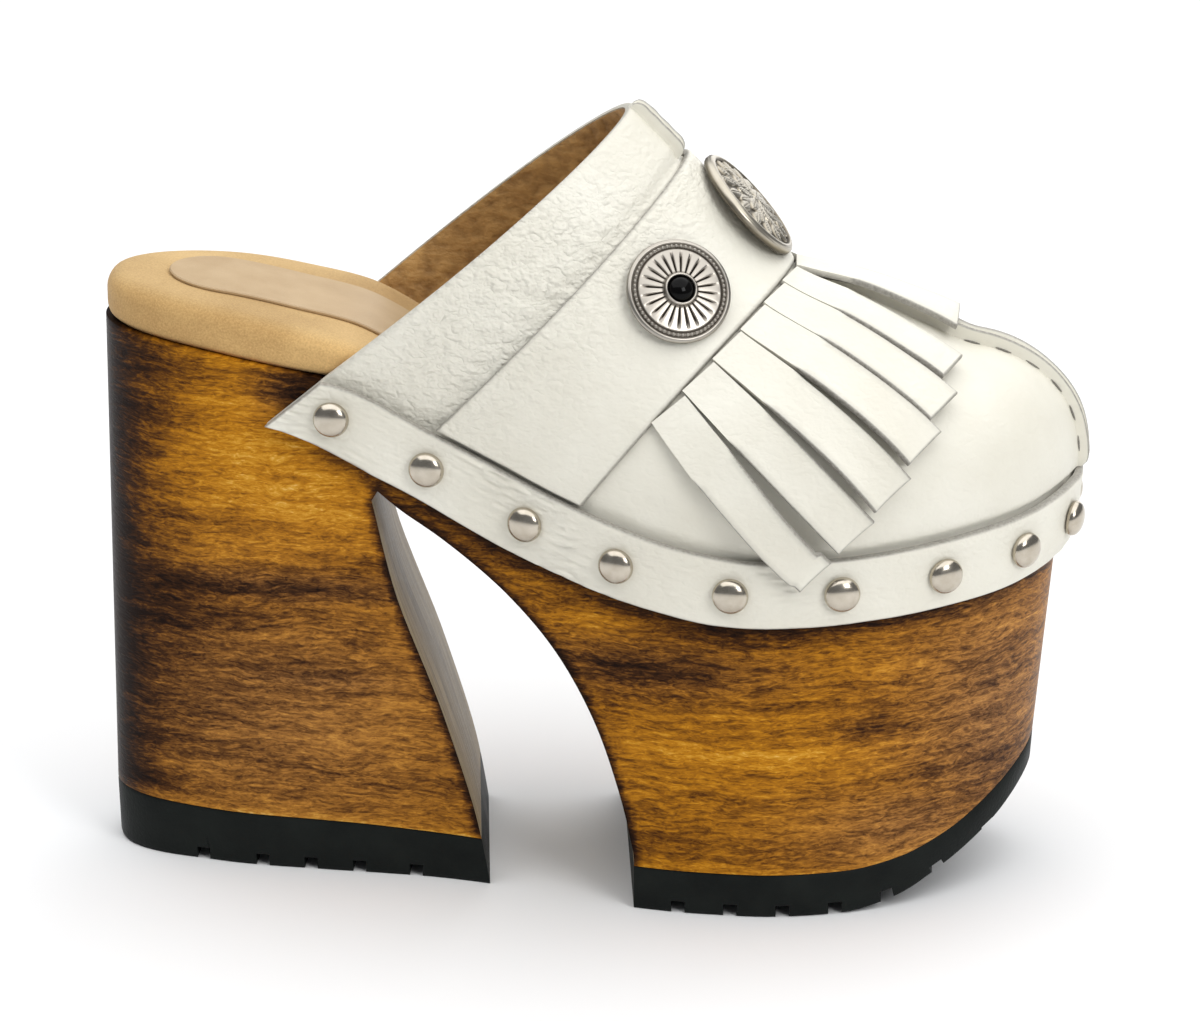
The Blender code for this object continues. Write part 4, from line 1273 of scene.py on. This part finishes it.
# Stations between which the wrinkles fade towards the toe
WRINKLE_FADE = (0.140, 0.205)
rand_half = collar_to_tip(190, (0.0, 0.0001, 0.0003, 0.0006))
rand_levels = lipped(0.0, 1.0, 46, 0.045)
rand_outer, rand_inner = both_halves(rand_half, rand_levels)
rand_grid = np.concatenate([rand_outer, rand_inner[-2::-1]])
rand_tuck = tuck(np.concatenate([rand_half, rand_half[-2::-1]])[:, None], rand_levels[None])
rand_grid = rand_grid + grid_normals(rand_grid) * (SEAT_GAP - rand_tuck)[..., None]
nail_spots = np.array([upper_point(s, NAIL_LEVEL, side) for side in (OUTER, INNER) for s in NAIL_STATIONS])


def rand_relief(grid):
    """Dimples round the nails, and two sets of wavering wrinkles between them, gathered in patches."""
    away = np.linalg.norm(grid[:, :, None] - nail_spots[None, None], axis=3).min(axis=2)
    dimple = -DIMPLE[1] * np.exp(-((away / DIMPLE[0]) ** 2))
    run = np.cumsum(np.linalg.norm(np.gradient(grid[:, grid.shape[1] // 2], axis=0), axis=1))[:, None]
    height = rand_levels[None]
    drift = sum(size * np.sin(run * rate + start) for size, rate, start in WRINKLE_DRIFT)
    wave = np.sin((height + drift) * 44) + 0.7 * np.sin((height * 1.3 - drift) * 61 + run * 70)
    patch = np.clip(np.sin(run * 95 + 3 * height) + 0.3 * np.sin(run * 37), 0, 1)
    fade = np.interp(grid[..., 0] + ORIGIN[0], WRINKLE_FADE, (1.0, 0.15))
    return dimple + WRINKLE_DEPTH * wave * fade * (0.15 + 0.85 * patch) * np.clip(away / NAIL_CALM, 0, 1)


rand = slab("rand_band", [rand_grid], RAND_THICKNESS, 0.16, relief=rand_relief(rand_grid), edge=0.0007)
dress(rand, WHITE_LEATHER, "white_leather", "rand", crease=math.radians(60))

# %% [markdown]
# ## Saddle
# A smooth band of leather crosses the instep. It is cut from the upper's own grid between two edges,
# so it follows the last exactly and stands one thickness proud of the upper. A flat strip shrunk onto
# the upper would stretch at the ridge.

# %% Saddle
SADDLE_THICKNESS = 0.0016
SADDLE_FOOT = 1.01
SADDLE_BOW = 0.0040


def saddle_front(level):
    """Station of the saddle's front edge, which bows back between the rand and the ridge."""
    return SADDLE_FRONT - SADDLE_BOW * np.sin(math.pi * (np.minimum(level, 4 - level) - 1))


saddle_levels = lipped(SADDLE_FOOT, 4 - SADDLE_FOOT, 130, 0.012)
saddle_shares = lipped(0.0, 1.0, 44, 0.016)
saddle_stations = SADDLE_REAR + (saddle_front(saddle_levels)[None] - SADDLE_REAR) * saddle_shares[:, None]
saddle_rows = np.broadcast_to(saddle_levels[None], saddle_stations.shape)
saddle_grid = over_ridge(saddle_stations, saddle_rows, OUTER)
saddle_grid = saddle_grid + grid_normals(saddle_grid) * SEAT_GAP
saddle_pebble = np.interp(saddle_shares, (0.0, 0.35, 0.7), (0.55, 0.30, 0.12))[:, None]
saddle = slab("saddle", [saddle_grid], SADDLE_THICKNESS, saddle_pebble, edge=0.0011, lip=0.2)
dress(saddle, WHITE_LEATHER, "white_leather", "saddle_band", crease=math.radians(60))

# %% [markdown]
# ## Fringe
# Thirteen leather strips hang from the saddle's front edge and fan out over the toe. Each strip is a
# narrow slab: the points of a straight line from root to tip are dropped onto the upper, and lifted
# a little towards the tip. A cloth simulation would let them hang, but the table keeps each tip where
# it is on the real shoe. At the root the strips lie edge to edge, so each slit begins as a closed cut
# and opens downwards.

# %% Fringe strips
FRINGE_FOOT = 1.305
FRINGE_CLEARANCE = 0.0008
FRINGE_THICKNESS = 0.0014
ROOT_LIFT = 0.0005
# How late a strip lifts off along its length: the one on the ridge, the others
LIFT_POWERS = (0.8, 1.2)
# Where the slits open, as a share of the length, and how far apart the tips are spread
SLIT_START = 0.30
TIP_PITCH = 0.0135
# Strips of one side from the lowest to the ridge: station and level of the tip, then width, lift, curl
# and roll of the tip; on the inner side they were trimmed shorter
STRIPS = (
    (0.1732, 0.850, 0.0104, 0.0045, 0.0006, 0.0),
    (0.1769, 1.120, 0.0116, 0.0030, 0.0004, 0.0),
    (0.1805, 1.275, 0.0118, 0.0028, 0.0007, 0.0),
    (0.1838, 1.440, 0.0122, 0.0025, 0.0005, 0.0),
    (0.1847, 1.590, 0.0122, 0.0026, 0.0006, 0.0),
    (0.1836, 1.760, 0.0120, 0.0021, 0.0002, 0.0),
    (0.1812, 2.000, 0.0115, 0.0041, -0.0003, 0.0011),
)
STRIP_ROWS = np.concatenate([np.linspace(0.0, 0.985, 30), [0.990, 0.995, 0.998, 1.0]])
STRIP_COLUMNS = lipped(-1.0, 1.0, 9, 0.09)
# Along the root no edge is free: distance added to the border there, where it fades and how fast
JOINED, FADE_START, FADE_LENGTH = 0.004, SLIT_START + 0.05, 0.22
STRIP_JOINED = JOINED * np.clip((FADE_START - STRIP_ROWS) / FADE_LENGTH, 0, 1)[:, None]
INNER_TRIM = 0.0035
print("points of one strip:", len(STRIP_ROWS), "by", len(STRIP_COLUMNS))

# %% Strips on the upper
DROP_STEPS = 15
# Steps in station and level over which the drop measures the slope
DROP_PROBE = (0.0005, 0.005)


def root_levels():
    """Levels that share the fringe's root on one side into strips of equal width, foot to ridge."""
    levels = np.linspace(FRINGE_FOOT, 2, 200)
    points = upper_point(saddle_front(levels) + FRINGE_CLEARANCE, levels, OUTER)
    girth = run_along(points)
    strips = len(STRIPS) - 0.5
    return np.interp(girth[-1] * np.arange(len(STRIPS)) / strips, girth, levels)


def dropped(line, station, level, side, normal):
    """Stations and levels on the upper below the points of a straight line, found in a few steps."""
    step, rise = DROP_PROBE
    for _ in range(DROP_STEPS):
        here = over_ridge(station, level, side)
        along = (over_ridge(station + step, level, side) - here) / step
        climb = (over_ridge(station, level + rise, side) - here) / rise
        a, b, miss = (way - (way @ normal)[:, None] * normal for way in (along, climb, line - here))
        aa, bb, ab = ((p * q).sum(axis=1) for p, q in ((a, a), (b, b), (a, b)))
        am, bm = (a * miss).sum(axis=1), (b * miss).sum(axis=1)
        station = station + (am * bb - bm * ab) / (aa * bb - ab * ab)
        level = level + (bm * aa - am * ab) / (aa * bb - ab * ab)
    return station, level


def strip_grid(side, low, high, tip):
    """Grid of one strip between two levels at its root: rows to the tip, columns across."""
    tip_station, tip_level, tip_width, tip_lift, curl, roll = tip
    middle = (low + high) / 2
    start = saddle_front(middle) + FRINGE_CLEARANCE
    stations = start + (tip_station - start) * STRIP_ROWS
    levels = middle + (tip_level - middle) * STRIP_ROWS
    root, end = over_ridge(np.array([start, tip_station]), np.array([middle, tip_level]), side)
    facing = unit(upper_normal(stations, levels, side).mean(axis=0))
    line = root + (end - root) * STRIP_ROWS[:, None]
    stations, levels = dropped(line, stations, levels, side, facing)
    normals = upper_normal(stations, levels, side)
    on_ridge, on_side = LIFT_POWERS
    rise = np.sin(STRIP_ROWS * math.pi / 2) ** (on_ridge if tip_level == 2.0 else on_side)
    lift = ROOT_LIFT + (tip_lift - ROOT_LIFT) * rise
    centres = over_ridge(stations, levels, side) + normals * lift[:, None]
    across = unit(np.cross(normals, np.gradient(centres, axis=0)))
    corners = np.array([low, high])
    ends = over_ridge(saddle_front(corners) + FRINGE_CLEARANCE, corners, side)
    root_width = np.linalg.norm(ends[1] - ends[0])
    open_width = root_width + (TIP_PITCH - root_width) * SLIT_START
    half = np.interp(STRIP_ROWS, (0.0, SLIT_START, 1.0), (root_width, open_width, tip_width)) / 2
    spread = STRIP_COLUMNS[None] * half[:, None]
    bend = curl * STRIP_COLUMNS**2 + roll * STRIP_COLUMNS
    cup = bend[None] * STRIP_ROWS[:, None] ** 1.5
    return centres[:, None] + across[:, None] * spread[..., None] + normals[:, None] * cup[..., None]


def make_fringe():
    """All strips of the fringe, outer side to inner side."""
    levels = root_levels()
    last = len(STRIPS) - 1
    grids = [strip_grid(OUTER, levels[k], levels[k + 1], STRIPS[k]) for k in range(last)]
    grids.append(strip_grid(OUTER, levels[last], 4 - levels[last], STRIPS[last]))
    for k in reversed(range(last)):
        tip = (STRIPS[k][0] - INNER_TRIM, *STRIPS[k][1:])
        grids.append(strip_grid(INNER, levels[k], levels[k + 1], tip))
    settings = {"ends": (0, 1), "edge": 0.0004, "joined": STRIP_JOINED}
    return slab("fringe_strips", grids, FRINGE_THICKNESS, 0.08, **settings)


fringe = make_fringe()
dress(fringe, WHITE_LEATHER, "white_leather", "fringe", crease=math.radians(60))

# %% [markdown]
# ## Nails
# Eighteen domed nails hold the rand. Copies could be turned into place by hand, but a geometry nodes
# tree does it from a list: it sets one turned head on a point for each nail and turns it outwards.
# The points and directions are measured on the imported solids.

# %% Seats measured on the solids
# Seats look away from a line inside the shoe: offset and height, and how far it lies behind a seat
SHOE_MIDDLE = (0.004, 0.090)
SEAT_LEAN = 0.004


def seat_of(name):
    """Middle of the flat back of a turned solid, and the direction that it faces."""
    points = np.array([vertex.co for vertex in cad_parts[name].data.vertices])
    points = np.unique(points.round(7), axis=0)
    middle = points.mean(axis=0)
    normal = np.linalg.svd(points - middle)[2][2]
    inside = np.array([middle[0] - SEAT_LEAN, *SHOE_MIDDLE])
    normal = normal * np.sign((middle - inside) @ normal)
    back = ((points - middle) @ normal).min()
    return middle + normal * back, normal


def seat_matrix(name):
    """Place of a turned piece on its seat, with its first axis towards the toe."""
    spot, normal = seat_of(name)
    z = Vector(normal)
    x = (Vector((1, 0, 0)) - z * z.x).normalized() if abs(z.x) < 0.9 else Vector((0, 1, 0))
    y = z.cross(x).normalized()
    turn = Matrix((y.cross(z), y, z)).transposed().to_4x4()
    return Matrix.Translation(Vector(spot)) @ turn


print("first nail at", seat_of("nail_01")[0].round(4))

# %% Nail head
# A turned piece has this radius in its middle, where its points are welded
POLE = 0.00001


def turned_piece(name, profile, steps):
    """Mesh turned from radius and height, from the middle of the top down to the back."""
    points, faces = [], []
    angle = np.linspace(0, 2 * math.pi, steps, endpoint=False)
    for radius, height in profile:
        reach = max(radius, POLE)
        rim = [reach * np.cos(angle), reach * np.sin(angle), np.full(steps, height)]
        points.append(np.column_stack(rim))
    k = np.arange(steps)
    for level in range(len(profile) - 1):
        low, high = level * steps + k, level * steps + (k + 1) % steps
        faces += np.stack([low, low + steps, high + steps, high], axis=1).tolist()
    faces.append(k.tolist())
    faces.append((k[::-1] + (len(profile) - 1) * steps).tolist())
    return new_piece(name, np.concatenate(points), faces)


def round_top(radius, rise, end, count, power=1.0):
    """Radius and height of a round shape, from the middle of its top down to an angle."""
    return [(radius * math.sin(a), rise * math.cos(a) ** power) for a in np.linspace(0, end, count)]


NAIL_RADIUS = 0.0043
NAIL_HEIGHT = 0.0026
NAIL_SINK = 0.0006
dome = round_top(NAIL_RADIUS, NAIL_HEIGHT, math.pi / 2 - 0.05, 14, 0.85)
nail_head = turned_piece("nail_head", dome + [(NAIL_RADIUS, 0.0), (NAIL_RADIUS * 0.93, -NAIL_SINK)], 36)
print("points of one nail:", len(nail_head.data.vertices))
# Polished nickel with faint handling marks
NICKEL = plain_finish("nickel", 400.0, (0.46, 0.41, 0.335), (0.56, 0.51, 0.43), (0.12, 0.15), Metallic=1.0)


# %% Geometry nodes for what repeats
def set_input(modifier, name, value):
    """Set a named input of a geometry nodes modifier."""
    for item in modifier.node_group.interface.items_tree:
        if item.item_type == "SOCKET" and item.in_out == "INPUT" and item.name == name:
            modifier[item.identifier] = value


def make_setting_tree():
    """Sets a small shape on every point, turned along the point's own direction."""
    tree = bpy.data.node_groups.new("set_on_points", "GeometryNodeTree")
    sockets = {"Points": "Geometry", "Shape": "Object", "Finish": "Material", "Size": "Float"}
    for socket, kind in sockets.items():
        tree.interface.new_socket(socket, in_out="INPUT", socket_type="NodeSocket" + kind)
    tree.interface.new_socket("Geometry", in_out="OUTPUT", socket_type="NodeSocketGeometry")
    given = tree.nodes.new("NodeGroupInput").outputs
    shape = node(tree, "GeometryNodeObjectInfo", {"Object": given["Shape"]})
    outward = node(tree, "GeometryNodeInputNamedAttribute", {"Name": "outward"}, data_type="FLOAT_VECTOR")
    turn = node(tree, "FunctionNodeAlignRotationToVector", {"Vector": outward.outputs[0]}, axis="Z")
    points = node(tree, "GeometryNodeMeshToPoints", {"Mesh": given["Points"]})
    inputs = {
        "Points": points.outputs[0],
        "Instance": shape.outputs["Geometry"],
        "Rotation": turn.outputs[0],
        "Scale": given["Size"],
    }
    copies = node(tree, "GeometryNodeInstanceOnPoints", inputs)
    real = node(tree, "GeometryNodeRealizeInstances", {"Geometry": copies.outputs[0]})
    inputs = {"Geometry": real.outputs[0], "Material": given["Finish"]}
    finished = node(tree, "GeometryNodeSetMaterial", inputs)
    node(tree, "NodeGroupOutput", {"Geometry": finished.outputs[0]})
    return tree


SET_ON_POINTS = make_setting_tree()


def set_on_points(name, points, directions, shape, finish):
    """Piece made of copies of a shape on points, each turned to its direction."""
    piece = new_piece(name, points, [])
    attribute = piece.data.attributes.new("outward", "FLOAT_VECTOR", "POINT")
    attribute.data.foreach_set("vector", np.ravel(directions).astype(np.float32))
    modifier = piece.modifiers.new("Copies", "NODES")
    modifier.node_group = SET_ON_POINTS
    for socket, value in (("Shape", shape), ("Finish", finish), ("Size", 1.0)):
        set_input(modifier, socket, value)
    settle(piece)
    return piece


nail_names = [f"nail_{number:02d}" for number in range(1, 19)]
nail_places, nail_ways = zip(*(seat_of(name) for name in nail_names))
nails = set_on_points("nails", nail_places, nail_ways, nail_head, NICKEL)
bpy.data.objects.remove(nail_head)
dress(nails, NICKEL, "nickel", *nail_names)

# %% [markdown]
# ### Stitches of the seam
# Small stitches of waxed thread show along the foot of the raised seam. Their dark grey is partly the
# thread and partly painted shade of the stitch holes. Each is a short thread with round ends, sunk
# nearly half into the flap. The same tree sets them on points along the ridge, which is simpler than
# one thread that goes in and out.

# %% Seam stitches
STITCH_PITCH = 0.0078
STITCH_LENGTH = 0.0042
STITCH_RADIUS = 0.00026
# Stations between which the stitches show
STITCHED = (0.186, TOE_SEAM[1])
# Lengths without a stitch at the start and the end of that stretch
STITCH_FREE = (0.003, 0.002)
# Seat of a stitch on the flap: share of its thickness, share of its height
STITCH_SEAT = (1.14, 0.06)


def seam_stitches(ends, count):
    """Points and directions of the stitches on both sides of a seam."""
    points, normals, aside, _, height = ridge_line(*ends, count)
    run = run_along(points)
    at = np.arange(STITCH_FREE[0], run[-1] - STITCH_FREE[1], STITCH_PITCH)
    out, up = STITCH_SEAT
    spots, ways = [], []
    for side in (OUTER, INNER):
        line = points + aside * side * FLAP_THICKNESS * out + normals * (up * height)[:, None]
        ahead = np.gradient(line, axis=0)
        for values, store in ((line, spots), (ahead, ways)):
            store.append(np.column_stack([np.interp(at, run, values[:, k]) for k in range(3)]))
    return np.concatenate(spots), np.concatenate(ways)


thread_profile = round_top(STITCH_RADIUS, STITCH_LENGTH / 2, math.pi, 7)
thread_shape = turned_piece("thread_shape", thread_profile, 8)
# Waxed thread, coloured dark grey: partly the thread, partly painted shade of its holes
THREAD_AND_HOLE_SHADE = plain_finish("thread_and_hole_shade", 2400.0, (0.13, 0.12, 0.10), (0.26, 0.245, 0.215), (0.2, 0.5))
stitch_places = seam_stitches(STITCHED, 120)
stitches = set_on_points("seam_stitches", *stitch_places, thread_shape, THREAD_AND_HOLE_SHADE)
bpy.data.objects.remove(thread_shape)
dress(stitches, THREAD_AND_HOLE_SHADE, "white_leather")

# %% [markdown]
# ## Silver ornaments
# Three stamped discs sit on the saddle. Their relief is real, since a bump would look flat along the
# rim: a height over radius and angle, with a rosette of leaves on the middle one, and flutes round a
# bezel with a black stone on the side ones. What lies deep is marked, and the material darkens it as
# old silver does; the middle disc is rubbed paler. Beads are set by the tree from above.

# %% Relief of the ornaments
# All sizes of the relief are in millimetres
CONCHO_STEPS = 384
# Domes of the side and the middle ornament: height of the foot, rise, radius where it meets the foot
FLUTED_DOME = (0.55, 1.85, 12.9)
ENGRAVED_DOME = (1.0, 2.3, 15.4)
FLUTES = 24
FLUTE_DEPTH = 0.5
# Both ends of the flutes: radius, length over which they fade
FLUTE_ENDS = ((4.1, 0.5), (9.6, 2.0))
# Pan under the stone: depth, radius, length of its slope
PAN = (0.5, 3.1, 0.2)
# Rings of a side ornament: radius, half width, rise
FLUTED_RINGS = ((10.15, 0.25, -0.16), (11.35, 0.25, -0.16), (11.95, 0.50, 0.22), (3.60, 0.50, 1.10))
# Dark rings of a side ornament: radius, half width, depth mark
FLUTED_DARK = ((10.15, 0.30, 0.45), (11.35, 0.30, 0.45), (10.65, 0.80, 0.56), (4.25, 0.30, 0.55))
# The leaves end at this radius, in a dark ring of this half width
FIELD_RADIUS = 13.1
FIELD_EDGE = 0.3
BUD_RADIUS = 1.35
# Rim of the middle ornament: radius, half width, rise
ENGRAVED_RIM = (13.9, 0.8, 0.40)
# Skirt of a disc down to the middle of its back: share of the radius, height; and its depth mark
SKIRT = ((1.004, 0.55), (0.985, 0.02), (0.0, 0.02))
SKIRT_MARK = 0.6
# Leaves of the middle ornament: number, radius of base and tip, half width, turn, height
LEAVES = (
    (8, 1.3, 7.6, 1.95, 0.0, 1.0),
    (8, 4.4, 10.0, 1.75, math.pi / 8, 0.8),
    (16, 7.8, 12.8, 1.60, math.pi / 16, 0.85),
)


def hump(value, centre, half):
    """Round hump of height one about a centre."""
    return np.sqrt(np.clip(1 - ((value - centre) / half) ** 2, 0, 1))


def humps(radius, rings):
    """Sum of round rings."""
    return sum(size * hump(radius, centre, half) for centre, half, size in rings)


def domed(radius, foot, rise, end):
    """Height of a plain dome."""
    return foot + rise * hump(radius, 0.0, end)


def fluted_height(radius, angle):
    """Height and depth mark of a side ornament."""
    groove = np.exp(-((np.sin(angle * FLUTES / 2) / 0.34) ** 2))
    (start, fade_in), (end, fade_out) = FLUTE_ENDS
    band = np.clip((radius - start) / fade_in, 0, 1) * np.clip((end - radius) / fade_out, 0, 1)
    depth, pan_radius, slope = PAN
    pan = depth * np.clip((pan_radius - radius) / slope, 0, 1)
    height = domed(radius, *FLUTED_DOME) - FLUTE_DEPTH * groove * band + humps(radius, FLUTED_RINGS) - pan
    return height, 0.95 * groove * band + humps(radius, FLUTED_DARK)


def leaf(radius, angle, count, base, tip, width, turn):
    """Ring of pointed leaves: height from 0 to 1, with a vein along each leaf."""
    share = np.clip((radius - base) / (tip - base), 0, 1)
    step = 2 * math.pi / count
    away = (angle + turn + step / 2) % step - step / 2
    half = width * np.sin(share * math.pi) ** 0.7 / np.maximum(radius, 0.5)
    body = np.clip(1 - (away / np.maximum(half, 1e-4)) ** 2, 0, 1) ** 0.5
    vein = 0.35 * np.exp(-((away * radius / 0.10) ** 2))
    ribs = 0.05 * np.sin(share * 40 - np.abs(away * radius) * 5)
    return np.where((share > 0) & (share < 1), np.maximum(body - vein + ribs * body, 0), 0)


def engraved_height(radius, angle):
    """Height and depth mark of the middle ornament."""
    relief = hump(radius, 0.0, BUD_RADIUS)
    for *shape, size in LEAVES:
        relief = np.maximum(relief, size * leaf(radius, angle, *shape))
    field = np.clip((FIELD_RADIUS - radius) / FIELD_EDGE, 0, 1)
    rim = humps(radius, (ENGRAVED_RIM,))
    height = domed(radius, *ENGRAVED_DOME) + 0.75 * (relief - 0.75) * field + rim
    dark = 0.5 * hump(radius, FIELD_RADIUS, FIELD_EDGE)
    return height, 0.60 * np.clip(1 - 1.5 * relief, 0, 1) * field + dark


def relief_piece(name, node_name, full_radius, height_of, rings):
    """Disc with a relief and a skirt down to its back, set on the seat of its solid."""
    radius = np.concatenate([[0.0], np.linspace(0.12, full_radius, rings)])
    angle = np.linspace(0, 2 * math.pi, CONCHO_STEPS, endpoint=False)
    height, deep = height_of(radius[:, None], angle[None])
    skirt = np.array(SKIRT)
    radii = np.concatenate([radius, full_radius * skirt[:, 0]])
    level = np.ones((1, CONCHO_STEPS))
    height = np.concatenate([height * level, skirt[:, 1:] * level])
    deep = np.concatenate([deep * level, np.full((len(skirt), CONCHO_STEPS), SKIRT_MARK)])
    height[0] = height[0].mean()
    around = np.append(angle, angle[0])
    height, deep = (np.concatenate([v, v[:, :1]], axis=1) for v in (height, deep))
    x = radii[:, None] * np.cos(around)[None]
    y = radii[:, None] * np.sin(around)[None]
    grid = np.stack([x, y, height], axis=-1) / 1000
    piece = new_piece(name, grid, quads(*grid.shape[:2]), {"deep": np.clip(deep, 0, 1)})
    piece.data.transform(seat_matrix(node_name))
    return piece


print("leaves:", sum(row[0] for row in LEAVES), "flutes:", FLUTES)

# %% Silver and stone
# Silver tones from the high points to the hollows: depth mark and colour
SILVER_TONES = ((0.12, (0.41, 0.380, 0.335)), (0.45, (0.29, 0.262, 0.225)), (0.95, (0.050, 0.042, 0.034)))
# The middle disc is rubbed paler
PALE_TONES = ((0.12, (0.47, 0.430, 0.355)), (0.45, (0.31, 0.275, 0.215)), (0.95, (0.055, 0.045, 0.035)))


def make_antique_silver(name, tones):
    """Silver that is bright on its high points and dark in its hollows."""
    material, tree, shader, place = new_material(name, Metallic=1.0)
    tone = mottle(tree, place, 520.0, 4.0)
    deep = math_node(tree, "MULTIPLY_ADD", tone, 0.25, mark_value(tree, "deep"))
    colour = ramp(tree, deep, *tones)
    rough = math_node(tree, "MULTIPLY_ADD", deep, 0.2, 0.29)
    feed(tree, shader, Base_Color=colour, Roughness=rough)
    return material


ANTIQUE_SILVER = make_antique_silver("antique_silver", SILVER_TONES)
PALE_SILVER = make_antique_silver("pale_silver", PALE_TONES)
# Polished black stone
BLACK_STONE = plain_finish(
    "black_stone", 300.0, (0.0015, 0.0015, 0.0015), (0.004, 0.0035, 0.0035), (0.05, 0.06),
    stops=(0.3, 0.8), Specular_IOR_Level=0.10,
)
print("finishes:", ANTIQUE_SILVER.name, PALE_SILVER.name, BLACK_STONE.name)

# %% Ornaments on the saddle
MIDDLE_RADIUS = 14.9
SIDE_RADIUS = 12.5
BEADS = 60
BEAD_RADIUS = 0.00044
# Ring of the beads: radius, height above the seat
BEAD_RING = (0.01075, 0.00150)
STONE_RADIUS = 0.0030
STONE_RISE = 0.0021
STONE_SINK = 0.0008
# Foot of a stone: share of its radius, height
STONE_FOOT = (0.9, -0.0012)
middle_concho = relief_piece("concho_rosette", "concho_centre", MIDDLE_RADIUS, engraved_height, 110)
dress(middle_concho, PALE_SILVER, "antique_silver", "concho_centre", crease=math.radians(75))
bead_profile = round_top(BEAD_RADIUS, BEAD_RADIUS, math.pi, 6)
stone_profile = [(r, h - STONE_SINK) for r, h in round_top(STONE_RADIUS, STONE_RISE, math.pi / 2, 16)]
stone_profile.append((STONE_RADIUS * STONE_FOOT[0], STONE_FOOT[1]))
reach, rise = BEAD_RING
turns = np.linspace(0, 2 * math.pi, BEADS, endpoint=False)
bead_ring = [Vector((reach * math.cos(turn), reach * math.sin(turn), rise)) for turn in turns]
for word in ("outer", "inner"):
    seat = seat_matrix("concho_" + word)
    disc = relief_piece("concho_" + word + "_disc", "concho_" + word, SIDE_RADIUS, fluted_height, 90)
    dress(disc, ANTIQUE_SILVER, "antique_silver", "concho_" + word, crease=math.radians(75))
    bead_shape = turned_piece("bead_shape", bead_profile, 8)
    spots = [seat @ spot for spot in bead_ring]
    ways = [seat.to_3x3() @ Vector((0, 0, 1))] * BEADS
    beads = set_on_points("beads_" + word, spots, ways, bead_shape, ANTIQUE_SILVER)
    bpy.data.objects.remove(bead_shape)
    dress(beads, ANTIQUE_SILVER, "antique_silver")
    stone = turned_piece("cabochon_" + word, stone_profile, 48)
    stone.data.transform(seat_matrix("stone_" + word))
    dress(stone, BLACK_STONE, "black_stone", "stone_" + word)

# %% [markdown]
# ## Stage, light and camera
# The shoe stands on a plain pale floor, as in a catalogue. A wide soft panel hangs above, a smaller lamp
# at the front right gives the nails and the varnish their glints, and a faint panel stands behind. The
# camera looks from the photo's angle.

# %% Stage, light and camera
FLOOR_HALF = 6.0
AIM = np.array([0.1190, 0.0, 0.0850]) - ORIGIN
AZIMUTH = math.radians(3.5)
ELEVATION = math.radians(18.2)
DISTANCE = 1.27
LENS = 157.0
SKY_COLOUR = (0.92, 0.95, 1.0, 1)
SKY_STRENGTH = 0.23
# Lights: name, place, aim, size and power in watts
LIGHTS = (
    ("overhead", (0.0, 0.20, 1.60), (0.0, 0.20, 0.0), 3.4, 63.0),
    ("front", (1.10, -1.30, 1.00), (0.0, 0.0, 0.08), 0.7, 11.0),
    ("behind", (0.50, 1.70, 0.55), (0.0, 0.0, 0.10), 1.0, 5.0),
)


def look_at(placed_object, place, aim):
    """Place a light or camera so that it points at its aim."""
    placed_object.location = place
    placed_object.rotation_euler = (Vector(aim) - Vector(place)).to_track_quat("-Z", "Y").to_euler()
    bpy.context.scene.collection.objects.link(placed_object)


corners = [(x * FLOOR_HALF, y * FLOOR_HALF, 0) for x, y in ((-1, -1), (1, -1), (1, 1), (-1, 1))]
floor = new_piece("floor", corners, [(0, 1, 2, 3)])
# Pale matt floor
PALE_FLOOR = plain_finish("pale_floor", 6.0, (0.86, 0.86, 0.86), (0.88, 0.88, 0.88), (0.1, 0.7))
floor.data.materials.append(PALE_FLOOR)
for light_name, place, aim, size, power in LIGHTS:
    lamp = bpy.data.lights.new(light_name, "AREA")
    lamp.size = size
    lamp.energy = power
    look_at(bpy.data.objects.new(light_name, lamp), place, aim)
world = bpy.data.worlds.new("studio")
world.use_nodes = True
background = world.node_tree.nodes["Background"].inputs
background["Color"].default_value = SKY_COLOUR
background["Strength"].default_value = SKY_STRENGTH
bpy.context.scene.world = world
bpy.context.scene.view_settings.view_transform = "Standard"

camera = bpy.data.objects.new("camera", bpy.data.cameras.new("camera"))
camera.data.lens = LENS
camera.data.clip_start = 0.05
level = math.cos(ELEVATION)
back = Vector((math.sin(AZIMUTH) * level, -math.cos(AZIMUTH) * level, math.sin(ELEVATION)))
look_at(camera, Vector(AIM) + back * DISTANCE, AIM)
bpy.context.scene.camera = camera
print("lights:", len(LIGHTS), "camera at", [round(value, 3) for value in camera.location])
